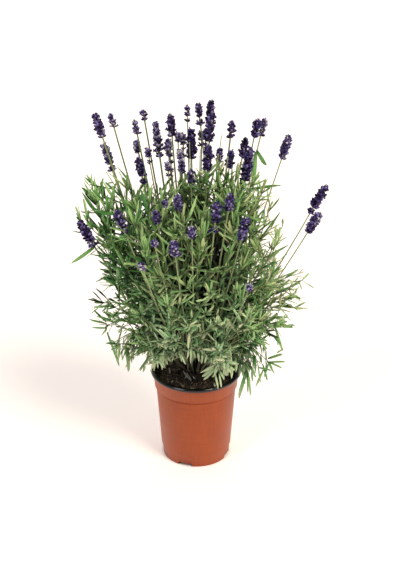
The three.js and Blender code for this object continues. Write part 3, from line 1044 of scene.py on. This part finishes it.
def sister(stalk, turn, reach, rise):
    """The same line turned about Z, then drawn in and lowered towards its tip."""
    line = []
    for n, point in enumerate(stalk.line):
        t = n / (len(stalk.line) - 1)
        p = Matrix.Rotation(turn * min(1, 3 * t), 3, "Z") @ point
        p.xy *= 1 + (reach - 1) * t
        p.z = CROWN_CENTRE.z + (p.z - CROWN_CENTRE.z) * (1 + (rise - 1) * t)
        line.append(p)
    return Stalk(line)


def roomy_length(stalk, room):
    """How much of a stalk has this much room round it, in millimetres."""
    steps = [stalk.length * n / 40 for n in range(12, 41)]
    clear = [here for here in steps if has_room(stalk.point(here), -room)]
    return max(clear) if clear else steps[0]


def led_on(stalk, length):
    """A stalk with a leader added that runs on from its tip and turns up."""
    line = list(stalk.line)
    direction = stalk.direction(stalk.length)
    steps = 8
    for n in range(steps):
        direction = (direction + UP * 0.05).normalized()
        line.append(line[-1] + direction * length * MM / steps)
    return Stalk(line)


def grow_axis(bm, draw, stalk, twigs):
    end = roomy_length(stalk, 4)
    tube(bm, stalk, 0, end, 1.4, 0.65, 5, 14, 1, draw.random())
    pairs(bm, draw, stalk, 0.24 * stalk.length, end, 1.0, 0.36)
    star(bm, draw, stalk, end, 7)
    for n in range(twigs):
        here = end * (0.24 + 0.7 * (n + draw.random()) / twigs)
        origin, tangent = stalk.point(here), stalk.direction(here)
        high = habit(origin)
        side = side_of(tangent, n * 2.4 + draw.gauss(0, 0.3))
        length = draw.uniform(28, 55) + 30 * high * draw.random()
        twig = twig_line(draw, origin, tangent, side, length, 0.25 + 0.5 * high)
        if all(has_room(twig.line[n], -5) for n in (4, 8)) and draw.random() < kept(origin):
            tube(bm, twig, 0, twig.length, 0.9, 0.5, 4, 6, 1, draw.random())
            pairs(bm, draw, twig, 0.22 * twig.length, twig.length, 0.85, 0.26)
            star(bm, draw, twig, twig.length, 6)


def grow_bundle(name, stalk, seed):
    draw = random.Random(seed)
    bm = new_bmesh()
    tip = stalk.line[-1]
    if tip.z > 0.3:
        stalk = led_on(stalk, draw.uniform(22, 40))
    grow_axis(bm, draw, stalk, 9)
    for n in range(1 if tip.z < 0.3 else 2):
        turn = math.radians(draw.uniform(14, 28)) * (-1) ** n
        grow_axis(bm, draw, sister(stalk, turn, draw.uniform(0.6, 0.98), draw.uniform(0.78, 0.98)), 7)
    made = piece(name.replace("leafy_shoot", "shoot"), bm, [felted_leaf, green_stem], "foliage", name)
    return len(made.data.polygons)


faces = [grow_bundle(name, stalk, 100 + n) for n, (name, stalk) in enumerate(shoots.items())]
print("shoots:", len(faces), "pieces,", sum(faces), "faces, the largest", max(faces))

# %% [markdown]
# ### Low sprigs
#
# Short side shoots start straight from the crown. The low ones hang towards the lip, where their
# old leaves point down like fingers and show pale undersides, and longer ones fill out the sides.
# Each is given by its azimuth in degrees, the distance from the axis and the height of its tip in
# millimetres, and the size of its leaves.

# %% Grow the low sprigs
LOW_SPRIGS = [
    (-92, 46, 208, 1.25), (-106, 50, 206, 1.2), (-78, 50, 204, 1.2), (-120, 52, 196, 1.2),
    (-136, 58, 188, 1.2), (-154, 60, 174, 1.1), (-168, 68, 172, 1.1), (-50, 60, 166, 1.1),
    (-40, 52, 172, 1.0), (-60, 48, 178, 1.1), (-64, 56, 162, 1.0), (-16, 74, 162, 1.5),
    (-26, 80, 154, 1.6), (-6, 82, 160, 1.4), (178, 98, 178, 1.5), (-170, 90, 176, 1.5),
    (8, 98, 172, 1.2), (-21, 106, 170, 1.1), (-7, 116, 192, 1.2), (-172, 108, 192, 1.3),
    (0, 98, 206, 1.1), (-12, 100, 286, 1.1), (176, 112, 270, 1.1), (188, 112, 296, 1.2),
    (10, 98, 298, 1.1), (-30, 104, 292, 1.1), (24, 104, 196, 1.2), (180, 124, 206, 1.2),
    (176, 130, 236, 1.2), (3, 148, 272, 1.0), (-5, 144, 256, 1.0), (-1, 150, 290, 1.0),
    (-4, 138, 238, 1.1), (-14, 138, 250, 1.1), (-20, 126, 226, 1.1),
]


def sprig_line(azimuth, reach, height):
    """A line that rises out of the crown and arches over to its tip."""
    out = Vector((math.cos(azimuth), math.sin(azimuth), 0))
    line = []
    for n in range(21):
        t = n / 20
        rise = (1 - t) * 140 + t * height + 34 * math.sin(math.pi * t)
        line.append((out * (14 + (reach - 14) * t) + UP * rise) * MM)
    return Stalk(line)


def grow_sprigs(name, rows, bare, seed):
    """A piece of extra shoots that are bare on this share of their length."""
    draw = random.Random(seed)
    bm = new_bmesh()
    for azimuth, reach, height, size in rows:
        stalk = sprig_line(math.radians(azimuth), reach, height)
        tube(bm, stalk, 0, stalk.length, 1.1, 0.6, 5, 10, 1, draw.random())
        pairs(bm, draw, stalk, bare * stalk.length, stalk.length, size, 0.35)
        star(bm, draw, stalk, stalk.length, 8)
    made = piece(name, bm, [felted_leaf, green_stem], "foliage")
    print(name, "faces:", len(made.data.polygons))


grow_sprigs("low_sprigs", LOW_SPRIGS, 0.3, 55)

# %% Grow the tall shoots
# Between the CAD shoots a few more reach the top of the bush and close its outline there.
TALL_SHOOTS = [
    (40, 40, 452, 1.0), (15, 62, 444, 1.0), (80, 34, 456, 1.0), (30, 80, 436, 0.9), (172, 104, 430, 1.0),
    (100, 50, 460, 1.0), (60, 70, 466, 0.9), (-60, 30, 440, 1.0), (168, 124, 426, 1.1),
    (150, 90, 440, 1.0), (186, 124, 400, 1.0), (5, 94, 410, 0.9), (20, 46, 452, 0.9),
]
grow_sprigs("tall_shoots", TALL_SHOOTS, 0.6, 56)

# %% [markdown]
# ### Single leaves
#
# Round the edge of the bush some leaves stand alone and are easily told apart: the pale fingers
# that hang over the soil, longer ones that hang outside the pot, two low stars at the sides, and a
# few very long leaves high on the flower stems. Each is given by the places of its foot and tip
# and its width, in millimetres, and turns its flat side to the front.

# %% Hang the single leaves
FINGERS = [  # x, y and z of the foot, then of the tip, then the width
    (-19, -68, 200, -14, -70, 182, 3.2), (-8, -68, 216, -7, -71, 184, 3.8),
    (-4, -68, 214, -1, -70, 192, 3.4), (2, -68, 206, 4, -70, 187, 3.4),
    (13, -68, 206, 12, -70, 184, 3.6), (18, -68, 216, 18, -70, 191, 3.4),
    (23, -66, 206, 22, -70, 184, 3.6), (-13, -68, 210, -12, -70, 190, 3.2),
    (8, -68, 208, 8, -70, 183, 3.4), (-23, -68, 204, -19, -70, 186, 3.4),
    (-41, -68, 236, -41, -70, 206, 3.8), (-36, -68, 224, -36, -70, 206, 3.6),
    (-30, -66, 212, -26, -68, 192, 3.2), (48, -66, 214, 49, -68, 184, 3.4),
    (-54, -36, 188, -64, -30, 147, 3.4), (-54, -38, 184, -59, -34, 152, 3.2),
    (-52, -40, 186, -53, -42, 160, 3.4), (-50, -40, 184, -47, -42, 158, 3.2),
    (-48, -38, 182, -43, -42, 160, 3.2), (-46, -40, 186, -39, -44, 167, 3.4),
    (-44, -42, 188, -35, -44, 171, 3.2), (-56, -34, 176, -58, -28, 148, 3.0),
    (28, -56, 176, 7, -62, 164, 4.4), (28, -56, 173, 9, -62, 158, 4.6),
    (28, -56, 170, 11, -62, 153, 4.0), (30, -56, 170, 23, -64, 158, 3.6),
    (27, -58, 162, 31, -67, 141, 3.2), (33, -58, 162, 35, -67, 144, 3.2),
    (33, -56, 166, 39, -64, 154, 3.2), (34, -56, 176, 45, -62, 160, 3.6),
    (44, -54, 170, 54, -52, 162, 5.0), (28, -58, 176, 25, -64, 160, 3.2),
    (50, -46, 166, 50, -50, 148, 4.0), (58, -44, 174, 56, -48, 157, 3.8),
]
OUTER_LEAVES = [
    (69, -40, 157, 61, -42, 112, 5.4), (72, -40, 154, 73, -42, 120, 3.2),
    (74, -40, 152, 77, -42, 116, 3.0), (94, -40, 156, 84, -42, 131, 4.0),
    (80, -40, 178, 83, -42, 152, 3.2), (101, -40, 166, 96, -42, 146, 3.2),
    (100, -40, 170, 124, -42, 170, 3.2), (100, -40, 169, 120, -42, 160, 3.6),
    (97, -40, 174, 120, -42, 182, 3.8), (113, -40, 181, 121, -42, 190, 2.8),
    (101, -40, 168, 107, -42, 157, 2.4), (100, -40, 174, 97, -42, 187, 2.8),
    (92, -40, 166, 100, -42, 140, 3.4), (86, -40, 168, 91, -42, 137, 3.2),
    (98, -40, 172, 110, -42, 151, 3.2), (90, -40, 161, 105, -42, 156, 3.0),
    (112, -20, 212, 122, -24, 178, 4.6), (104, -30, 206, 118, -34, 194, 3.4),
    (-124, -10, 200, -109, -14, 148, 3.6), (-99, -10, 184, -96, -14, 139, 5.0),
    (-88, -10, 178, -92, -14, 152, 2.8), (-106, -10, 182, -110, -14, 155, 3.0),
    (-95, -10, 180, -94, -14, 152, 3.0), (-124, -10, 214, -141, -14, 236, 3.0),
    (-125, -10, 212, -148, -14, 222, 3.4), (-125, -10, 210, -145, -14, 209, 3.6),
    (-123, -10, 206, -133, -14, 196, 2.4), (-118, -10, 216, -136, -14, 228, 3.2),
]


def lay_leaf(bm, draw, foot, tip, width, facing, tint):
    """A leaf from foot to tip, which are in metres, with its flat side towards facing."""
    foot = foot + jitter(draw, 1.4) * MM
    facing = facing + jitter(draw, 0.35)
    length = (tip - foot).length
    width *= draw.uniform(0.85, 1.12)
    matrix = grown_frame(foot, tip - foot, facing, 1) @ Matrix.Diagonal((width * MM, length, width * MM, 1))
    stamp(bm, draw.choice(large_leaves[4:7]), matrix, tint, 0)


draw = random.Random(61)
bm = new_bmesh()
for rows, least, most in ((FINGERS, 0.62, 0.95), (OUTER_LEAVES, 0.3, 0.7)):
    for *places, width in rows:
        foot, tip = Vector(places[:3]) * MM, Vector(places[3:]) * MM
        lay_leaf(bm, draw, foot, tip, width, FACE, draw.uniform(least, most))
LONG_LEAVES = [  # a stem, the share of it below the leaf, the way to the leaf's tip, and the width
    ("flower_stem_23", 0.87, (-5, -8, -40), 6.6), ("flower_stem_23", 0.87, (13, -8, -18), 6.2),
    ("flower_stem_23", 0.71, (46, -8, 12), 5.2), ("flower_stem_27", 0.855, (-29, -8, -24), 5.4),
]
for name, share, way, width in LONG_LEAVES:
    stalk = flower_stalks[name]
    origin = stalk.point(stalk.length * share)
    lay_leaf(bm, draw, origin, origin + Vector(way) * MM, width, FACE, draw.uniform(0.4, 0.55))
singles = piece("single_leaves", bm, [felted_leaf], "foliage")
print("single leaves:", len(FINGERS) + len(OUTER_LEAVES) + len(LONG_LEAVES), "with",
      len(singles.data.polygons), "faces")

# %% [markdown]
# ### A stray sprig
#
# On the soil lies one thin, pale sprig that was shed when the plant was potted, with a few fallen
# leaves. It has dried to a pale grey-green and has no felt left.

# %% Stray sprig
dry_leaf, tree, shader = material("dry leaf")
dried = ramp(tree, attribute(tree, "tint"), (0.0, "#8d8664"), (0.5, "#dce0c4"), (1.0, "#f8f8ee"))
browned = mapped(tree, attribute(tree, "along"), 0.6, 1.0, 0.0, 0.5)
paint(tree, shader, mixed_colour(tree, browned, dried, "#8d7a55"))
shader.inputs["Roughness"].default_value = 0.85

SPRIG_LINE = [(-22, 18, 134), (-21, 8, 135), (-18, -6, 135), (-13, -20, 134), (-7, -31, 134)]
SPRIG_LEAVES = [  # x and y of foot and tip
    (-19, 2, -27, -4), (-17, 3, -11, 5), (-9, -7, -16, -30), (-16, -12, -6, -31), (-5, -24, -1, -31),
]
stray_line = Stalk([Vector(point) * MM for point in SPRIG_LINE])
draw = random.Random(5)
bm = new_bmesh()
tube(bm, stray_line, 0, stray_line.length, 1.3, 0.9, 5, 10, 0, 0.9)
for n, (x, y, tip_x, tip_y) in enumerate(SPRIG_LEAVES):
    lay_leaf(bm, draw, Vector((x, y, 135)) * MM, Vector((tip_x, tip_y, 136)) * MM, 2.1, UP, 0.8 + 0.04 * n)
for x, y, turn, length in ((-40, 14, 30, 17), (-6, -44, 100, 12), (22, -34, 200, 13), (-34, -18, 300, 10)):
    foot = Vector((x * MM, y * MM, soil_height(x * MM, y * MM) + 2 * MM))
    lay_leaf(bm, draw, foot, foot + Vector((math.cos(turn), math.sin(turn), 0.05)) * length * MM, 2.8, UP,
             draw.uniform(0, 0.5))
stray = piece("stray_sprig", bm, [dry_leaf], "foliage")
print("stray sprig and fallen leaves:", len(stray.data.polygons), "faces")

# %% [markdown]
# ## The flowers
#
# A spike is a stack of whorls. Each whorl is two rings of ribbed, felted calyxes 7 mm long, most
# still closed over a dark bud, with a two-lipped floret open here and there. A calyx is pulled
# out of a hexagon like a leaf. A floret is a tube that flares into five lobes, which come from
# moving every second point of its rim.

# %% Calyx and floret patterns
def turned_pattern(name, sides, rings, ribs=0.0):
    """A hollow-looking bud from (distance, radius) rings in millimetres, with raised ribs."""
    bm = new_bmesh()
    length = max(y for y, _ in rings)
    stations = [(Matrix.Translation((0, y * MM, 0)) @ Matrix.Diagonal((r * MM, 1, r * MM, 1)), y / length)
                for y, r in rings]
    face = first_face(bm, sides, Matrix.Identity(4))
    bmesh.ops.scale(bm, vec=(1 - ribs, 1, 1 - ribs), verts=list(face.verts)[::2])
    bmesh.ops.transform(bm, matrix=stations[0][0], verts=face.verts)
    draw_out(bm, face, stations)
    return pattern(name, bm)


CALYX_RINGS = [(0, 0.5), (1.2, 1.2), (3.4, 1.75), (5.0, 1.55), (6.2, 1.2), (6.8, 0.5)]
FLORET_RINGS = [(0, 0.5), (4.5, 0.7), (6.4, 1.1), (7.6, 3.4), (8.0, 3.5), (7.4, 1.2), (6.2, 0.6)]
calyx = turned_pattern("calyx", 6, CALYX_RINGS, 0.2)
floret = turned_pattern("floret", 10, FLORET_RINGS, 0.42)
bract = leaf_pattern("bract", DIAMOND, -30, 0, 0)
print("calyx:", len(calyx.polygons), "faces, floret:", len(floret.polygons), "faces")

# %% Flower materials
# Calyxes: dark violet under a grey felt. Along each calyx the colour is scaled: a painted shade at
# its foot, which lies in the shade of the whorl, and a painted highlight at its tip.
felted_calyx, tree, shader = material("felted violet calyx")
violet = ramp(tree, attribute(tree, "tint"), (0.0, "#171130"), (0.3, "#3c2e62"), (0.55, "#6a6093"),
              (0.78, "#9892ab"), (0.92, "#b5afb4"), (1.0, "#9ca08e"))
foot_shade_tip_highlight = mapped(tree, attribute(tree, "along"), 0.28, 0.88, 0.015, 1.4, smooth=True)
paint(tree, shader, scaled(tree, violet, foot_shade_tip_highlight))
shader.inputs["Roughness"].default_value = 0.7
shader.inputs["Specular IOR Level"].default_value = 0.2
shader.inputs["Sheen Weight"].default_value = 0.06
shader.inputs["Sheen Roughness"].default_value = 0.4
shader.inputs["Sheen Tint"].default_value = linear("#b9b4e0")

# Open florets: thin, clean violet-blue petals.
violet_petal, tree, shader = material("violet petal")
petals = ramp(tree, attribute(tree, "tint"), (0.0, "#3a2c88"), (0.5, "#5e4ca8"), (1.0, "#8a7db6"))
paint(tree, shader, petals)
shader.inputs["Roughness"].default_value = 0.5

# %% [markdown]
# ### Flower stalks
#
# A flower stalk is square and bare, with a few pairs of long leaves on its lower half. Its spike
# starts where the CAD node grows fat, and a second, lower stretch is a separate whorl.

# %% Build the spikes
def ring(bm, draw, stalk, here, count, size, open_share, fade, lean):
    """A ring of calyxes round the stalk, leaning out by this many degrees, some with a floret."""
    origin, tangent = stalk.point(here), stalk.direction(here)
    turn = draw.uniform(0, math.tau)
    for n in range(count):
        side = side_of(tangent, turn + n * math.tau / count + draw.gauss(0, 0.15))
        direction = spread_from(tangent, side, math.radians(lean + draw.gauss(0, 9)))
        foot = origin + side * 0.8 * MM + tangent * draw.gauss(0, 0.7) * MM
        scale = size * draw.uniform(0.85, 1.12)
        tint = min(0.92, max(0, fade + draw.gauss(0, 0.25)))
        stamp(bm, calyx, grown_frame(foot, direction, tangent, scale, 1.1), tint, 0)
        if draw.random() < open_share:
            stamp(bm, floret, grown_frame(foot, direction, tangent, scale * 0.9),
                  draw.uniform(0.2, 1) * (0.5 + fade / 2), 2)


def whorl(bm, draw, stalk, here, count, size, open_share, fade, lean=60):
    """Two rings of calyxes, the upper one steeper, over a pair of bracts."""
    ring(bm, draw, stalk, here, count, size, open_share, fade, lean)
    ring(bm, draw, stalk, here + 1.8 * size * MM, count - 2, size, open_share, fade, 0.55 * lean)
    origin, tangent = stalk.point(here), stalk.direction(here)
    turn = draw.uniform(0, math.pi)
    for n in range(2):
        direction = tangent * 0.5 + side_of(tangent, turn + n * math.pi) * 0.85
        matrix = grown_frame(origin, direction, tangent, MM) @ Matrix.Diagonal((3, 4.5 * size, 3, 1))
        stamp(bm, bract, matrix, 0.9, 0)


def girth(length):
    """How plump a spike of this length in metres is. Short ones are a little thinner."""
    return 0.74 + 0.34 * unit((length / MM - 14) / 28)


def spike(bm, draw, stalk, low, high, fade):
    """Whorls from low to high, the upper ones smaller, with a tuft of closed calyxes on top."""
    length = (high - low) / MM
    plump = girth(high - low)
    rows = max(2, round(length / draw.uniform(6.2, 7.8)))
    for n in range(rows):
        t = n / rows
        here = low + (2.0 * plump + t * (length - 6 * plump)) * MM
        size = plump * (0.68 + 0.43 * math.sin(math.pi * (0.2 + 0.72 * t))) * draw.uniform(0.95, 1.05)
        whorl(bm, draw, stalk, here, 8 if t < 0.7 else 7, size, 0.1, fade, 62 - 24 * t)
    ring(bm, draw, stalk, high - 6.5 * plump * MM, 5, plump * 0.66, 0, min(1, fade + 0.15), 20)
    ring(bm, draw, stalk, high - 4.5 * plump * MM, 3, plump * 0.56, 0, min(1, fade + 0.25), 9)


def stem_leaves(bm, draw, stalk, reach):
    """A few pairs of long leaves on the lower part of a flower stem."""
    count = draw.choice((3, 4, 5))
    for n in range(count):
        here = stalk.length * (0.18 + reach * n / count) + draw.uniform(-6, 6) * MM
        origin, tangent = stalk.point(here), stalk.direction(here)
        turn = n * math.pi / 2 + draw.uniform(0, 1)
        for facing in (0, math.pi):
            side = side_of(tangent, turn + facing)
            place_leaf(bm, draw, origin, spread_from(tangent, side, math.radians(draw.uniform(20, 40))),
                       tangent, draw.uniform(30, 44), draw.uniform(3.6, 4.6), draw.random(), slot=3)


FLOWER_MATERIALS = [felted_calyx, green_stem, violet_petal, felted_leaf]
FADES = [  # how far the felt has paled on each spike, from 0 for a fresh dark one
    0.34, 0.5, 0.48, 0.4, 0.52, 0.52, 0.22, 0.36, 0.32, 0.54, 0.22, 0.36, 0.5, 0.32, 0.24, 0.24, 0.34,
    0.46, 0.36, 0.34, 0.26, 0.28, 0.46, 0.48, 0.3, 0.36, 0.22, 0.24, 0.3, 0.4, 0.32, 0.28, 0.3, 0.42,
]


def grow_flower(name, stalk, fade, seed):
    draw = random.Random(seed)
    bm = new_bmesh()
    stretches = SPIKES[name]
    low, high = stretches[-1][0] - 4.5 * MM, stalk.length
    tube(bm, stalk, 0, high - 4 * MM, 1.35, 1.05, 4, 16, 1, draw.random())
    spike(bm, draw, stalk, low, high, fade)
    for bottom, top in stretches[:-1]:
        whorl(bm, draw, stalk, (bottom + top) / 2 - 1.5 * MM, 7, 0.9, 0.1, fade)
    stem_leaves(bm, draw, stalk, 0.45)
    made = piece(name.replace("flower_stem", "flower"), bm, FLOWER_MATERIALS, "blossom", name)
    return len(made.data.polygons)


faces = [grow_flower(name, stalk, fade, 300 + n)
         for n, ((name, stalk), fade) in enumerate(zip(flower_stalks.items(), FADES, strict=True))]
print("flowers:", len(faces), "pieces,", sum(faces), "faces, the largest", max(faces))

# %% [markdown]
# ### Late flowers
#
# A few thin stalks carry short, late or spent spikes that are too small to be parts of their own.
# Some have separate dry whorls lower down. They grow from the same crown, each given by the way it
# leans and its length.

# %% Late flower stalks
HEART_HEIGHT = 126
LATE_STALKS = [  # azimuth and lean in degrees, lengths of stalk and spike, then separate whorls
    (144, 14, 337, 15, 1), (101, 16, 345, 16, 2), (97, 15, 385, 17, 1), (112, 11, 352, 16, 0),
    (-120, 15, 308, 12, 0), (-92, 25, 317, 18, 0), (-113, 27, 296, 10, 0), (-116, 33, 286, 12, 0),
    (-64, 37, 262, 9, 0), (84, 13, 350, 14, 1), (122, 17, 366, 14, 2), (128, 10, 345, 18, 3),
    (118, 8, 330, 14, 2), (108, 13, 325, 12, 2), (150, 8, 318, 12, 1), (76, 9, 356, 16, 1),
]


def late_line(azimuth, lean, length):
    """A stalk that leaves the crown leaning out and straightens as it rises."""
    azimuth, lean = math.radians(azimuth), math.radians(lean)
    line = []
    for n in range(31):
        t = n / 30
        angle = lean * (1.25 - 0.25 * t)
        out = Vector((math.sin(angle) * math.cos(azimuth), math.sin(angle) * math.sin(azimuth),
                      math.cos(angle)))
        line.append(Vector((0, 0, HEART_HEIGHT * MM)) + out * length * t * MM)
    return Stalk(line)


draw = random.Random(77)
bm = new_bmesh()
for azimuth, lean, length, bloom, dry_whorls in LATE_STALKS:
    stalk = late_line(azimuth, lean, length)
    tube(bm, stalk, 0, stalk.length - 4 * MM, 1.15, 0.85, 4, 14, 1, draw.random())
    fade = draw.uniform(0.45, 0.75)
    spike(bm, draw, stalk, stalk.length - bloom * MM, stalk.length, fade)
    for n in range(dry_whorls):
        here = stalk.length - (bloom + 7 + 10 * n) * MM
        whorl(bm, draw, stalk, here, 5, draw.uniform(0.55, 0.8), 0, draw.uniform(0.1, 0.6))
    stem_leaves(bm, draw, stalk, 0.4)
late = piece("late_flowers", bm, FLOWER_MATERIALS, "blossom")
print("late flowers:", len(LATE_STALKS), "stalks,", len(late.data.polygons), "faces")

# %% [markdown]
# ## The woody crown
#
# All shoots grow from a short woody stool. It is a rounded body pushed about by noise. The first
# few centimetres of each shoot are old wood too, so a tapered branch with the same bark lies over
# them.

# %% Crown
bm = bmesh.new()
bmesh.ops.create_uvsphere(bm, u_segments=40, v_segments=24, radius=1)
half = (crown_high - crown_low) / 2
middle = (crown_high + crown_low) / 2
bmesh.ops.scale(bm, vec=half, verts=bm.verts)
bmesh.ops.translate(bm, vec=middle, verts=bm.verts)
for vert in bm.verts:
    knobs = noise.noise(vert.co / (9 * MM)) + 0.5 * noise.noise(vert.co / (3.5 * MM))
    vert.co -= vert.normal * (1.2 - 1.6 * knobs) * MM
smooth_faces(bm)

bark, tree, shader = material("fissured grey bark")
tall = add(tree, "ShaderNodeMapping", Vector=object_place(tree), Scale=(1, 1, 0.3)).outputs["Vector"]
fissure = speckle(tree, tall, 2, 5.0)
paint(tree, shader, ramp(tree, fissure, (0.35, "#1d1712"), (0.55, "#42372b"), (0.7, "#665847")))
shader.inputs["Roughness"].default_value = 0.9
roughen(tree, shader, fissure, 0.9, 0.8)
crown = piece("crown", bm, [bark], "bark", "woody_crown")

draw = random.Random(9)
bm = new_bmesh()
for stalk in shoots.values():
    tube(bm, stalk, 0, draw.uniform(40, 70) * MM, 3.2, 1.5, 8, 8, 0, 0.5)
branches = piece("woody_branches", bm, [bark], "bark")
print("crown:", len(crown.data.polygons), "faces, branches:", len(branches.data.polygons), "faces")
